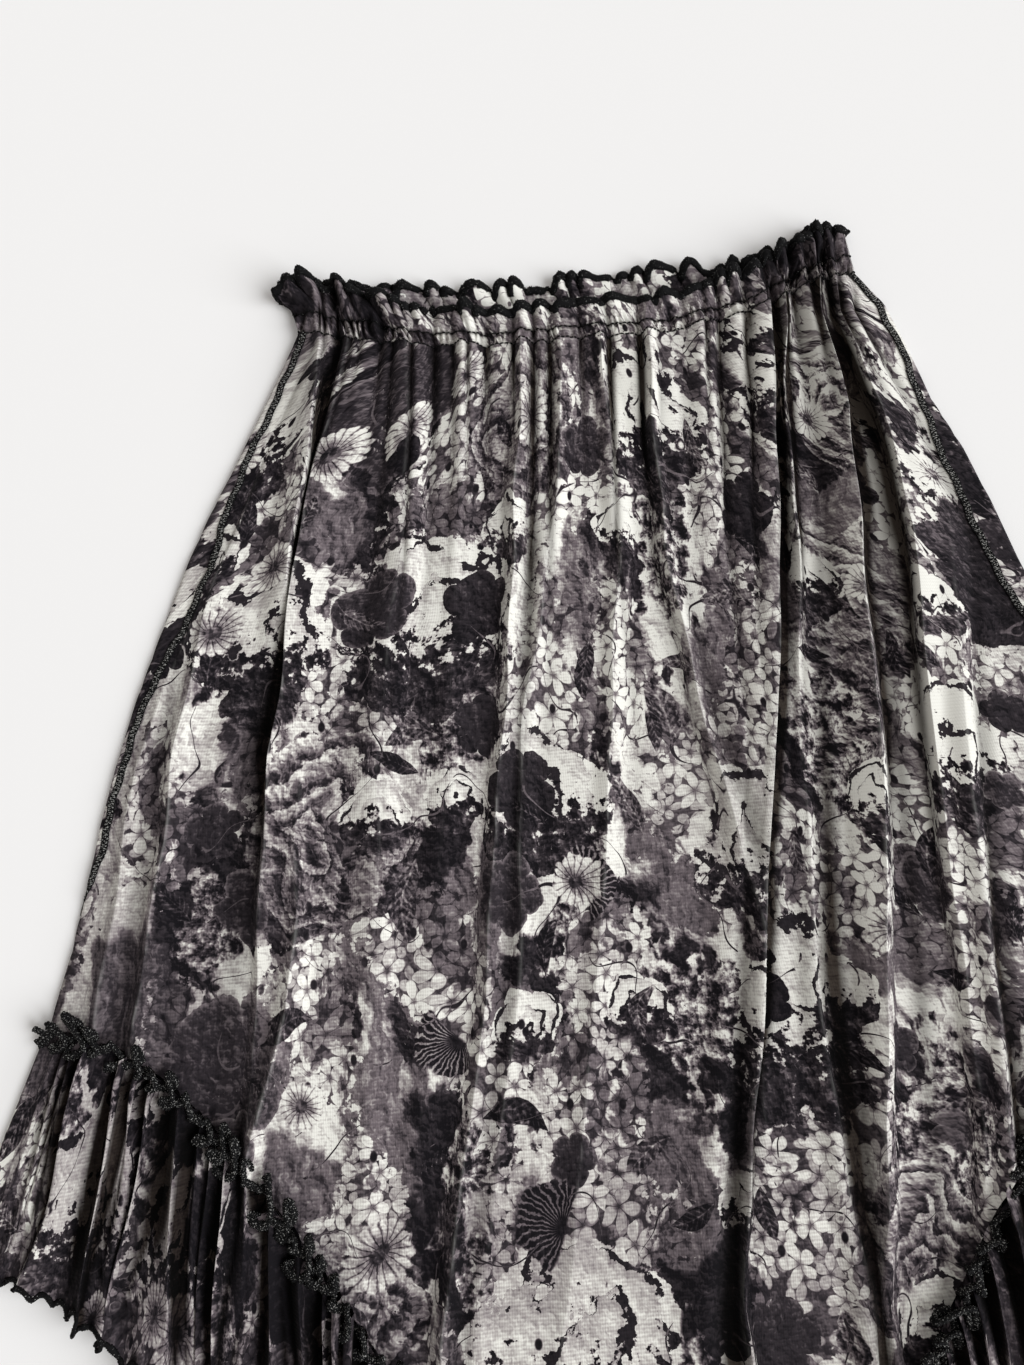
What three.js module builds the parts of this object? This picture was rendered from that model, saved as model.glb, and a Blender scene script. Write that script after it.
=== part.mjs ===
// A midi skirt of printed mesh jersey, laid flat on its back on a level surface, in millimetres.
//
// +X runs across the skirt, +Y up it towards the waist, +Z up out of the surface it lies on.
// "Drop" is the distance down the skirt from the middle of its waistline.
//
// The cloth is gathered into an elastic casing with a ruffled heading. The front and back panels
// are joined by side seams whose overlocked edges show on the outside. The lower edge of both
// panels dips to a deep curve at the middle, and a gathered flounce runs round it. The heading,
// the flounce seam and the hem are finished in black overlock thread.
//
// Every piece is a thin wall round a sheet of points. The sheets share one set of curves: a flat
// tube is described by how far round its girth a point lies and how far down the tube it is.
import * as THREE from "three";

// ---- Driving dimensions ------------------------------------------------------------------
const CLOTH = 1.2; // wall of every cloth piece
const SEAM_GAP = 0.3; // space left between pieces where they are sewn together
const REST_Z = CLOTH / 2; // middle of the layer that lies on the surface

const SIDE_SEAM_DROP = 383; // where the flounce seam meets the sides
const SEAM_DIP = 285; // how much lower that seam is at the middle
const FLOUNCE_SIDE = 109; // depth of the flounce at the sides
const FLOUNCE_MIDDLE = 132; // and at the middle
const FLOUNCE_TOP_HALF = 301; // half the width where the flounce is sewn on
const FLOUNCE_HEM_HALF = 346; // half the width at the hem, outside the last fold
const HEADING_SPREAD = { left: 6, right: 4 }; // how much further out the rim is than the waist

const OVERLOCK = 6; // width of the side seams' overlocked edge
const OVERLOCK_WALL = 0.9;
const FRILL = 8; // width of the ruffled overlocked edge along the flounce seam
const FRILL_WALL = 1.5;
const FRILL_LIFT = 1.9; // how far its middle is raised off the cloth in front
const SEAM_RIPPLE = 0.45; // the flounce's gathers at its seam, as a share of those at the hem
const HEM_ROLL = 3; // width of the rolled edge at the hem
const RIM_ROLL = 3.5; // width of the rolled edge on the heading
const ROLL_WALL = 1.4;

const BODY_TURN = 1.3; // radius of the fold at the sides of the panels
const WAIST_TURN = 2.9; // the same at the waist, where the gathers stand up
const WAIST_TURN_REACH = 0.06; // how soon it tightens below the waist, as a share of the panel
const FLOUNCE_TURN = 1.85; // the same at the hem

// The waist, from its left end (-1) to its right end (1): the drop of the stitching under the
// casing and of the heading's rim, for the front and for the back, which shows behind it.
const WAIST = [
  { across: -1.0, stitch: 9, rim: -25, backStitch: 9, backRim: -25 },
  { across: -0.8, stitch: 18, rim: -19, backStitch: 8, backRim: -22 },
  { across: -0.6, stitch: 24, rim: -3, backStitch: 9, backRim: -17 },
  { across: -0.3, stitch: 27, rim: 5, backStitch: 11, backRim: -12 },
  { across: 0.0, stitch: 26, rim: 2, backStitch: 10, backRim: -14 },
  { across: 0.3, stitch: 26, rim: 3, backStitch: 8, backRim: -18 },
  { across: 0.6, stitch: 17, rim: -7, backStitch: 6, backRim: -16 },
  { across: 0.8, stitch: 3, rim: -25, backStitch: 0, backRim: -26 },
  { across: 1.0, stitch: -6, rim: -38, backStitch: -6, backRim: -38 },
];

// The sides, from the waist (0) to the flounce seam (1): how far out each side is, how far in from
// it the seam lies on top (under the skirt if negative), how far the panels stop short of the
// seam's middle, and how far the overlocked edge is raised off them.
const SIDE = [
  { down: 0.0, left: 160, right: 163, seamLeft: 5, seamRight: 5, cut: 0.2, lift: 1.9 },
  { down: 0.05, left: 169, right: 178, seamLeft: 6, seamRight: 5, cut: 0.2, lift: 1.6 },
  { down: 0.12, left: 182, right: 188, seamLeft: 6, seamRight: 5, cut: 0.2, lift: 1.6 },
  { down: 0.2, left: 197, right: 197, seamLeft: 6, seamRight: 7, cut: 0.2, lift: 1.6 },
  { down: 0.28, left: 213, right: 211, seamLeft: 10, seamRight: 14, cut: 0.2, lift: 1.6 },
  { down: 0.36, left: 227, right: 222, seamLeft: 15, seamRight: 16, cut: 0.2, lift: 1.6 },
  { down: 0.45, left: 240, right: 232, seamLeft: 12, seamRight: 16, cut: 0.2, lift: 1.6 },
  { down: 0.55, left: 254, right: 246, seamLeft: 6, seamRight: 14, cut: 0.2, lift: 1.6 },
  { down: 0.65, left: 266, right: 260, seamLeft: 5, seamRight: 10, cut: 0.2, lift: 1.6 },
  { down: 0.73, left: 274, right: 269, seamLeft: 5, seamRight: 6, cut: 0.2, lift: 1.6 },
  { down: 0.77, left: 277, right: 274, seamLeft: 5, seamRight: 5, cut: 3.9, lift: 1.6 },
  { down: 0.81, left: 280, right: 278, seamLeft: 2, seamRight: 2, cut: 3.9, lift: 0.4 },
  { down: 0.86, left: 285, right: 284, seamLeft: -4, seamRight: -4, cut: 3.9, lift: 0 },
  { down: 0.93, left: 292, right: 292, seamLeft: -8, seamRight: -8, cut: 3.9, lift: 0 },
  { down: 1.0, left: 301, right: 301, seamLeft: -8, seamRight: -8, cut: 3.9, lift: 0 },
];

// The largest folds of the front panel. Each runs down through the listed places ("x" at each of
// FOLD_DROPS); it is "high" in the middle of its stretch, and "half" is half its width. "lean"
// pushes its crest sideways, so that one side is steep beside its trough.
const FOLD_DROPS = [20, 120, 250, 400, 560];
const FOLDS = [
  { x: [-152, -167, -186, -200, -208], high: [7, 8, 2, 0, 0], half: 15, lean: 3 },
  { x: [-122, -146, -168, -183, -190], high: [3, 4, 6, 6, 4], half: 18, lean: -3 },
  { x: [-170, -205, -234, -262, -275], high: [1, 2, 4, 3, 1], half: 17, lean: 2 },
  { x: [-96, -106, -124, -138, -145], high: [5, 6, 4, 2, 2], half: 17, lean: 0 },
  { x: [-58, -66, -84, -100, -106], high: [5, 4, 2, 2, 3], half: 16, lean: 1 },
  { x: [-34, -41, -57, -76, -84], high: [4, 5, 5, 4, 3], half: 16, lean: 1 },
  { x: [2, -1, -14, -30, -40], high: [4, 5, 4, 3, 3], half: 18, lean: 0 },
  { x: [34, 34, 26, 12, 2], high: [5, 4, 2, 3, 4], half: 17, lean: 0 },
  { x: [68, 66, 58, 44, 34], high: [4, 4, 3, 2, 2], half: 15, lean: 1 },
  { x: [97, 88, 77, 60, 40], high: [8, 9, 8, 7, 5], half: 16, lean: 5 },
  { x: [135, 138, 130, 117, 98], high: [8, 9, 9, 8, 5], half: 18, lean: 5 },
  { x: [160, 184, 186, 186, 180], high: [4, 6, 5, 4, 3], half: 21, lean: -3 },
  { x: [170, 208, 236, 252, 262], high: [1, 2, 3, 4, 2], half: 20, lean: 3 },
];
const FOLDS_CLEAR_OF_SIDE = { from: 8, by: 30 }; // the folds die out towards the sides

// The gathers' largest ripples: how many there are from side to side, and how high they stand.
const HEADING_RIPPLES = { count: 11, front: 3.2, back: 1.4 };
const FLOUNCE_RIPPLES = { count: 12, front: 5.0, back: 1.8 };

// How finely each sheet is divided. All the pieces share the places across the skirt, so that
// their facets meet.
const INNER = 0.86; // the shared places' reach to each side, as a share of half the width
const FRONT_COLUMNS = 36;
const BACK_COLUMNS = 16;
const NEAR_SIDE = [6, 12, 20]; // further places, as distances in from the side
const LEAST_STEP = 0.8; // columns beside a seam are at least this far apart
const FLOUNCE_LEVELS = [0, 0.2, 0.5, 0.8, 1];
const HEADING_LEVELS = [0, 0.35, 0.7, 1]; // the casing's upper stitching is at the second

const COLOURS = {
  print: 0x8b888a, // the print's average: off-white flowers on grey and charcoal
  thread: 0x121213,
};

// ---- Small tools ---------------------------------------------------------------------------
const clamp01 = (x) => Math.min(1, Math.max(0, x));
const smooth = (x) => clamp01(x) ** 2 * (3 - 2 * clamp01(x));
const mix = (a, b, share) => a + (b - a) * share;

// The value of a table's column at a key, straight between its rows.
function lookUp(table, key, at, column) {
  let i = 1;
  while (i < table.length - 1 && table[i][key] < at) i += 1;
  const [low, high] = [table[i - 1], table[i]];
  return mix(low[column], high[column], clamp01((at - low[key]) / (high[key] - low[key])));
}

// The value of a fold's list at a drop, with the same places for every fold.
function alongFold(list, drop) {
  let i = 1;
  while (i < FOLD_DROPS.length - 1 && FOLD_DROPS[i] < drop) i += 1;
  const share = (drop - FOLD_DROPS[i - 1]) / (FOLD_DROPS[i] - FOLD_DROPS[i - 1]);
  return mix(list[i - 1], list[i], clamp01(share));
}

// ---- The flat tube ---------------------------------------------------------------------------
// One turn of the tube at one level: from "left" to "right" over the top, round a fold of radius
// "turn", and back underneath.
function girthOf(left, right, turn) {
  const flat = left + right - 2 * turn;
  return { left, right, turn, flat, half: flat + Math.PI * turn, quarter: (Math.PI * turn) / 2 };
}

// The place at a distance round a girth, from the left fold's outermost point: x, the height
// above the lower layer's middle, the outward direction, and how far it is on the upper layer
// (1) rather than the lower one (0).
function placeOn(girth, round) {
  const { left, right, turn, flat, half, quarter } = girth;
  let q = round % (2 * half);
  if (q > 2 * half - quarter) q -= 2 * half;
  if (q < -quarter) q += 2 * half;
  const bend = (angle, centre, side) => ({
    x: centre + side * turn * Math.cos(angle),
    rise: turn + turn * Math.sin(angle),
    outX: side * Math.cos(angle),
    outZ: Math.sin(angle),
    upper: smooth((Math.sin(angle) + 1) / 2),
  });
  if (q <= quarter) return bend(q / turn, turn - left, -1);
  if (q < quarter + flat) {
    return { x: turn - left + q - quarter, rise: 2 * turn, outX: 0, outZ: 1, upper: 1 };
  }
  if (q <= 3 * quarter + flat) {
    return bend(Math.PI / 2 - (q - quarter - flat) / turn, right - turn, 1);
  }
  return { x: right - turn - (q - 3 * quarter - flat), rise: 0, outX: 0, outZ: -1, upper: 0 };
}

// The distance round a girth to a share across it, from -1 at the left to 1 at the right.
function roundTo(girth, across, isUpper) {
  const fromLeft = ((girth.left + girth.right) * (1 + across)) / 2;
  const over = girth.quarter + fromLeft - girth.turn;
  return isUpper ? over : 2 * girth.half - over;
}

const acrossOf = (girth, x) =>
  Math.min(1, Math.max(-1, (2 * x + girth.left - girth.right) / (girth.left + girth.right)));

const sharedPlaces = (count) =>
  Array.from({ length: count + 1 }, (_, i) => mix(-INNER, INNER, i / count));

// ---- Curves across the skirt -----------------------------------------------------------------
const flounceSeamDrop = (across) =>
  SIDE_SEAM_DROP + (SEAM_DIP * (1 + Math.cos(Math.PI * across))) / 2;
const hemDrop = (across) =>
  flounceSeamDrop(across) +
  mix(FLOUNCE_SIDE, FLOUNCE_MIDDLE, (1 + Math.cos(Math.PI * across)) / 2);

// A distance measured squarely off the flounce's curve, turned into a drop.
function squareOff(distance, across, half) {
  const slope = (SEAM_DIP * Math.PI * Math.sin(Math.PI * across)) / (2 * half);
  return distance * Math.hypot(1, slope);
}

function waistDrop(across, upper, line) {
  const front = lookUp(WAIST, "across", across, line);
  const back = lookUp(WAIST, "across", across, line === "stitch" ? "backStitch" : "backRim");
  return mix(back, front, upper);
}

// How the front's folds move a place: sideways and up. They die out near the sides.
function folded(girth, place, drop) {
  const fromSide = Math.min(place.x + girth.left, girth.right - place.x);
  const { from, by } = FOLDS_CLEAR_OF_SIDE;
  const free = place.upper === 1 ? smooth((fromSide - from) / (by - from)) : 0;
  let sideways = 0;
  let up = 0;
  for (const fold of FOLDS) {
    const off = (place.x - alongFold(fold.x, drop)) / fold.half;
    if (Math.abs(off) < 1) {
      const bump = (free * (1 + Math.cos(Math.PI * off))) / 2;
      const high = alongFold(fold.high, drop);
      up += high * bump;
      sideways += (fold.lean * bump * high) / Math.max(...fold.high);
    }
  }
  return { sideways, up };
}

// Uneven gathers: a ripple whose spacing and height vary across the skirt, dying out at the
// sides, "share" of its full height.
function rippleRise(across, upper, ripples, share) {
  const drift = 0.55 * Math.sin(5.1 * across + 0.7) + 0.3 * Math.sin(12.7 * across);
  const wave = 0.5 - 0.5 * Math.cos(Math.PI * ripples.count * (across + 1) + drift);
  const height = 0.72 + 0.28 * Math.sin(9.3 * across + 1.9);
  const free = smooth((1 - Math.abs(across)) / (1 - INNER));
  return mix(ripples.back, ripples.front, upper) * share * height * wave * free;
}

// ---- Panels and side seams -------------------------------------------------------------------
// A side seam's row, with the fold there looser at the waist, where the gathers stand up.
function sideAt(row) {
  const turn = mix(BODY_TURN, WAIST_TURN, Math.exp(-row.down / WAIST_TURN_REACH));
  return { ...row, girth: girthOf(row.left, row.right, turn) };
}

// A point of the body at a distance round its girth. It stops short of the flounce seam: by half
// a gap on top, and further underneath, where the frill lies level with the cloth.
function bodyPoint(side, round) {
  const { girth, down } = side;
  const place = placeOn(girth, round);
  const across = acrossOf(girth, place.x);
  const top = waistDrop(across, place.upper, "stitch") + SEAM_GAP / 2;
  const shortBy = mix(FRILL / 2 + SEAM_GAP, SEAM_GAP / 2, place.upper);
  const bottom = flounceSeamDrop(across) - squareOff(shortBy, across, FLOUNCE_TOP_HALF);
  const drop = mix(top, bottom, down);
  const fold = folded(girth, place, drop);
  const up = REST_Z + place.rise + fold.up;
  return { point: new THREE.Vector3(place.x + fold.sideways, -drop, up), place };
}

// The places from a side seam inwards, as distances round from the side: the panel's own edge,
// the fold at the side where the panel goes round it, and the places near the side. "way" is 1
// for the panel over the seam's upper side and -1 for the one that goes on underneath.
function besideSeam(seam, cut, quarter, way) {
  const marks = [-quarter, 0, quarter, ...NEAR_SIDE];
  const places = [seam * way + cut];
  marks.forEach((mark) => places.push(Math.max(mark, places[places.length - 1] + LEAST_STEP)));
  return places.map((place) => place * way);
}

function panelSheet(isFront) {
  const way = isFront ? 1 : -1;
  const shared = sharedPlaces(isFront ? FRONT_COLUMNS : BACK_COLUMNS);
  return SIDE.map(sideAt).map((side) => {
    const { girth, seamLeft, seamRight, cut } = side;
    const left = besideSeam(seamLeft, cut, girth.quarter, way);
    const right = besideSeam(seamRight, cut, girth.quarter, way);
    const rounds = [
      ...left,
      ...shared.map((across) => roundTo(girth, across, isFront)),
      ...right.map((place) => girth.half - place).reverse(),
    ];
    return rounds.map((round) => bodyPoint(side, round).point);
  });
}

// The overlocked edge of a side seam: a band over the joined edges, made from the panels' own
// points moved out, which turns under the skirt with the seam above the flounce.
function sideSeamSheet(isLeft) {
  return SIDE.map(sideAt).map((side) => {
    const seam = isLeft ? side.seamLeft : side.girth.half - side.seamRight;
    return [-1, -0.5, 0, 0.5, 1].map((step) => {
      const { point, place } = bodyPoint(side, seam + (step * OVERLOCK) / 2);
      return point.add(new THREE.Vector3(place.outX * side.lift, 0, place.outZ * side.lift));
    });
  });
}

// ---- Rings: the heading, the flounce and the rolled edges --------------------------------------
// The places round a ring, from the left side over the front to the right and back underneath.
function ringRounds(girth) {
  const { half, quarter } = girth;
  const marks = [0, quarter, ...NEAR_SIDE];
  const turn = [...marks.slice(1).map((mark) => -mark).reverse(), ...marks];
  return [
    ...turn,
    ...sharedPlaces(FRONT_COLUMNS).map((across) => roundTo(girth, across, true)),
    ...turn.map((mark) => half + mark),
    ...sharedPlaces(BACK_COLUMNS).map((across) => roundTo(girth, across, false)).reverse(),
  ];
}

// A row of the casing and heading, "level" 0 at the lower stitching and 1 at the rim, "beyond"
// further out than the rim.
function headingRow(level, beyond = 0) {
  const { left, right } = SIDE[0];
  const girth = girthOf(
    left + HEADING_SPREAD.left * level,
    right + HEADING_SPREAD.right * level,
    WAIST_TURN,
  );
  return ringRounds(girth).map((round) => {
    const place = placeOn(girth, round);
    const across = acrossOf(girth, place.x);
    const stitch = waistDrop(across, place.upper, "stitch") - SEAM_GAP / 2;
    const rim = waistDrop(across, place.upper, "rim");
    const fold = folded(girth, place, stitch);
    const fade = (1 - level) ** 2;
    const ripple = rippleRise(across, place.upper, HEADING_RIPPLES, level);
    return new THREE.Vector3(
      place.x + fold.sideways * fade,
      -mix(stitch, rim, level) + beyond,
      REST_Z + place.rise + fold.up * fade + ripple,
    );
  });
}

// A row of the flounce, "level" 0 at its seam and 1 at the hem, "beyond" further out than the hem.
function flounceRow(level, beyond = 0) {
  const half = mix(FLOUNCE_TOP_HALF, FLOUNCE_HEM_HALF, level);
  const girth = girthOf(half, half, mix(BODY_TURN, FLOUNCE_TURN, level));
  return ringRounds(girth).map((round) => {
    const place = placeOn(girth, round);
    const across = acrossOf(girth, place.x);
    const shortBy = mix(FRILL / 2 + SEAM_GAP, SEAM_GAP / 2, place.upper);
    const start = flounceSeamDrop(across) + squareOff(shortBy, across, half);
    const fold = folded(girth, place, start);
    const fade = (1 - level) ** 2;
    const ripple = rippleRise(across, place.upper, FLOUNCE_RIPPLES, mix(SEAM_RIPPLE, 1, level));
    return new THREE.Vector3(
      place.x + fold.sideways * fade,
      -mix(start, hemDrop(across), level) - squareOff(beyond, across, half),
      REST_Z + place.rise + fold.up * fade + ripple,
    );
  });
}

// The frill of overlocked seam allowance along the flounce seam. In front it rides over the
// panel and the flounce; underneath it lies level between them.
function frillSheet(isFront) {
  const girth = girthOf(FLOUNCE_TOP_HALF, FLOUNCE_TOP_HALF, BODY_TURN);
  const nearLeft = NEAR_SIDE.map((mark) => mark / FLOUNCE_TOP_HALF - 1);
  const shared = sharedPlaces(isFront ? FRONT_COLUMNS : BACK_COLUMNS);
  const places = [...nearLeft, ...shared, ...nearLeft.map((across) => -across).reverse()];
  return [-1, 0, 1].map((side) => places.map((across) => {
    const place = placeOn(girth, roundTo(girth, across, isFront));
    const drop = flounceSeamDrop(across) + squareOff((side * FRILL) / 2, across, FLOUNCE_TOP_HALF);
    const fold = folded(girth, place, drop);
    const ripple = isFront ? rippleRise(across, 1, FLOUNCE_RIPPLES, SEAM_RIPPLE) : 0;
    const level = isFront ? REST_Z + place.rise + FRILL_LIFT : FRILL_WALL / 2;
    return new THREE.Vector3(place.x + fold.sideways, -drop, level + fold.up + ripple);
  }));
}

// ---- From sheets to walls --------------------------------------------------------------------
// The direction square to a row of a sheet at a column, level with its place down the skirt, so
// that the walls of pieces that meet at a seam end in step.
function outAt(row, column, isRing) {
  const count = row.length;
  const wrap = (j) => (isRing ? (j + count) % count : Math.min(count - 1, Math.max(0, j)));
  const along = row[wrap(column + 1)].clone().sub(row[wrap(column - 1)]);
  return new THREE.Vector3(-along.z, 0, along.x).normalize();
}

// A closed wall of a thickness round a sheet, which is a list of rows of points.
function wall(sheet, thickness, isRing) {
  const rows = sheet.length;
  const columns = sheet[0].length;
  const positions = [];
  for (const face of [1, -1]) {
    sheet.forEach((row) => row.forEach((point, j) => {
      const p = point.clone().addScaledVector(outAt(row, j, isRing), (face * thickness) / 2);
      positions.push(p.x, p.y, Math.max(0, p.z));
    }));
  }
  const at = (face, i, j) => face * rows * columns + i * columns + (j % columns);
  const triangles = [];
  const quad = (a, b, c, d) => triangles.push(a, b, c, a, c, d);
  const steps = isRing ? columns : columns - 1;
  for (let j = 0; j < steps; j += 1) {
    for (let i = 0; i < rows - 1; i += 1) {
      quad(at(0, i, j), at(0, i, j + 1), at(0, i + 1, j + 1), at(0, i + 1, j));
      quad(at(1, i, j), at(1, i + 1, j), at(1, i + 1, j + 1), at(1, i, j + 1));
    }
    quad(at(0, 0, j), at(1, 0, j), at(1, 0, j + 1), at(0, 0, j + 1));
    quad(at(0, rows - 1, j), at(0, rows - 1, j + 1), at(1, rows - 1, j + 1), at(1, rows - 1, j));
  }
  if (!isRing) {
    const last = columns - 1;
    for (let i = 0; i < rows - 1; i += 1) {
      quad(at(0, i, 0), at(0, i + 1, 0), at(1, i + 1, 0), at(1, i, 0));
      quad(at(0, i, last), at(1, i, last), at(1, i + 1, last), at(0, i + 1, last));
    }
  }
  return new THREE.BufferGeometry()
    .setAttribute("position", new THREE.Float32BufferAttribute(positions, 3))
    .setIndex(triangles);
}

// Turns a geometry's faces round if they point inwards.
function facingOut(geometry) {
  const points = geometry.getAttribute("position");
  const index = geometry.getIndex().array;
  const corner = (k) => new THREE.Vector3().fromBufferAttribute(points, index[k]);
  let volume = 0;
  for (let k = 0; k < index.length; k += 3) {
    volume += corner(k).dot(corner(k + 1).cross(corner(k + 2)));
  }
  if (volume < 0) {
    for (let k = 0; k < index.length; k += 3) {
      [index[k + 1], index[k + 2]] = [index[k + 2], index[k + 1]];
    }
  }
  geometry.computeVertexNormals();
  return geometry;
}

const materialOf = (colour, roughness) =>
  new THREE.MeshStandardMaterial({ color: colour, roughness, metalness: 0 });
const print = materialOf(COLOURS.print, 0.85);
const thread = materialOf(COLOURS.thread, 0.7);

const skirt = new THREE.Group();
function addPiece(name, sheet, thickness, material, isRing) {
  const mesh = new THREE.Mesh(facingOut(wall(sheet, thickness, isRing)), material);
  mesh.name = name;
  skirt.add(mesh);
}

addPiece("front_panel", panelSheet(true), CLOTH, print, false);
addPiece("back_panel", panelSheet(false), CLOTH, print, false);
addPiece("left_seam_overlock", sideSeamSheet(true), OVERLOCK_WALL, thread, false);
addPiece("right_seam_overlock", sideSeamSheet(false), OVERLOCK_WALL, thread, false);

addPiece("waist_heading", HEADING_LEVELS.map((level) => headingRow(level)), CLOTH, print, true);
addPiece(
  "heading_rolled_edge",
  [SEAM_GAP, SEAM_GAP + RIM_ROLL].map((beyond) => headingRow(1, beyond)),
  ROLL_WALL, thread, true,
);

addPiece("front_flounce_frill", frillSheet(true), FRILL_WALL, thread, false);
addPiece("back_flounce_frill", frillSheet(false), FRILL_WALL, thread, false);
addPiece("flounce", FLOUNCE_LEVELS.map((level) => flounceRow(level)), CLOTH, print, true);
addPiece(
  "hem_rolled_edge",
  [SEAM_GAP, SEAM_GAP + HEM_ROLL].map((beyond) => flounceRow(1, beyond)),
  ROLL_WALL, thread, true,
);

// The origin is on the surface, under the middle of the whole skirt.
const box = new THREE.Box3().setFromObject(skirt);
const middle = box.getCenter(new THREE.Vector3());
skirt.position.set(-middle.x, -middle.y, 0);

export default skirt;
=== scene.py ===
"""A flower-printed midi skirt of mesh jersey, laid flat: its looks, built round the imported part.

Lengths are in millimetres until a mesh is made. "Drop" is the distance down the skirt from the
middle of its waistline, so Y = WAIST_Y - drop. Every sheet of cloth is a grid on a flat tube: a
point lies some way round the tube's girth and some way down it, and then the folds lift it.
"""

import math

import bpy
import numpy as np
from mathutils import Matrix, Vector


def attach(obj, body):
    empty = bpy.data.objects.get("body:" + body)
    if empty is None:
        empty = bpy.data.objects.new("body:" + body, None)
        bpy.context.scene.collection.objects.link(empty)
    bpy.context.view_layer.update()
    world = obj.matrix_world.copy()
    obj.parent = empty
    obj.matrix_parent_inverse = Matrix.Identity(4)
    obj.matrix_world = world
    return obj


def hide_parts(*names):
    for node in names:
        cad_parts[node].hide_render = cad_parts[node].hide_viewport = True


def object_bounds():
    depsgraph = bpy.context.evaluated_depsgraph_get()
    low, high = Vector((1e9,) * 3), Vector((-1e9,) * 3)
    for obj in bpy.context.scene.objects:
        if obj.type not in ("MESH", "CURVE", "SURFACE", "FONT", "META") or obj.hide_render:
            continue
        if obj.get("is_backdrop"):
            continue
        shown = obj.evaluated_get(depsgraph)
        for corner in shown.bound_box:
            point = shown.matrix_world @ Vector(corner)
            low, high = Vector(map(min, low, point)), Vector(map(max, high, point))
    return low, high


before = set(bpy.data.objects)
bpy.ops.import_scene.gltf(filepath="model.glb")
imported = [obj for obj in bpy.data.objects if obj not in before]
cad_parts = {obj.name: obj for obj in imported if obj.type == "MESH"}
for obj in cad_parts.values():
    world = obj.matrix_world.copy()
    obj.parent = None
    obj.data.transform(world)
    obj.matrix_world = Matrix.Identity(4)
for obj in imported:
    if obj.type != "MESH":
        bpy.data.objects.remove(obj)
CAD_LOW, CAD_HIGH = (corner.copy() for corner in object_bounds())
MM = 0.001

# ---- Sizes, as in the part ----
SIDE_SEAM_DROP, SEAM_DIP = 383.0, 285.0  # the flounce's seam at the sides, and how far it dips
FLOUNCE_SIDE, FLOUNCE_MIDDLE = 109.0, 132.0  # the flounce's depth
TOP_HALF, HEM_HALF = 301.0, 346.0  # half its width at its seam and at its hem
RIM_ABOVE_WAIST = 41.8  # the rolled edge's highest place above drop 0, at the right end
WAIST_Y = CAD_HIGH.y / MM - RIM_ABOVE_WAIST
BODY_TURN, WAIST_TURN, FLOUNCE_TURN = 1.3, 2.9, 1.85  # the radii of the folds at the sides
WAIST_TURN_REACH = 0.06  # how soon the waist's radius gives way to the body's
REST = 0.4  # the lower layer's height above the surface

# The waist's drops: across, then the front's stitching and rim, and the back's.
WAIST = np.array([
    (-1.0, 9, -25, 9, -25),
    (-0.8, 18, -19, 8, -22),
    (-0.6, 24, -3, 9, -17),
    (-0.3, 27, 5, 11, -12),
    (0.0, 26, 2, 10, -14),
    (0.3, 26, 3, 8, -18),
    (0.6, 17, -7, 6, -16),
    (0.8, 3, -25, 0, -26),
    (1.0, -6, -38, -6, -38),
])

# The sides: down, left, right, and how far in the left and the right seam lie.
SIDE = np.array([
    (0.0, 160, 163, 5, 5),
    (0.05, 169, 178, 6, 5),
    (0.12, 182, 188, 6, 5),
    (0.2, 197, 197, 6, 7),
    (0.28, 213, 211, 10, 14),
    (0.36, 227, 222, 15, 16),
    (0.45, 240, 232, 12, 16),
    (0.55, 254, 246, 6, 14),
    (0.65, 266, 260, 5, 10),
    (0.73, 274, 269, 5, 6),
    (0.77, 277, 274, 5, 5),
    (0.81, 280, 278, 2, 2),
    (0.86, 285, 284, -4, -4),
    (0.93, 292, 292, -8, -8),
    (1.0, 301, 301, -8, -8),
])

# ---- Folds ----
STATIONS = (20, 80, 150, 250, 380, 540)  # drops at which the front's folds are placed

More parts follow.
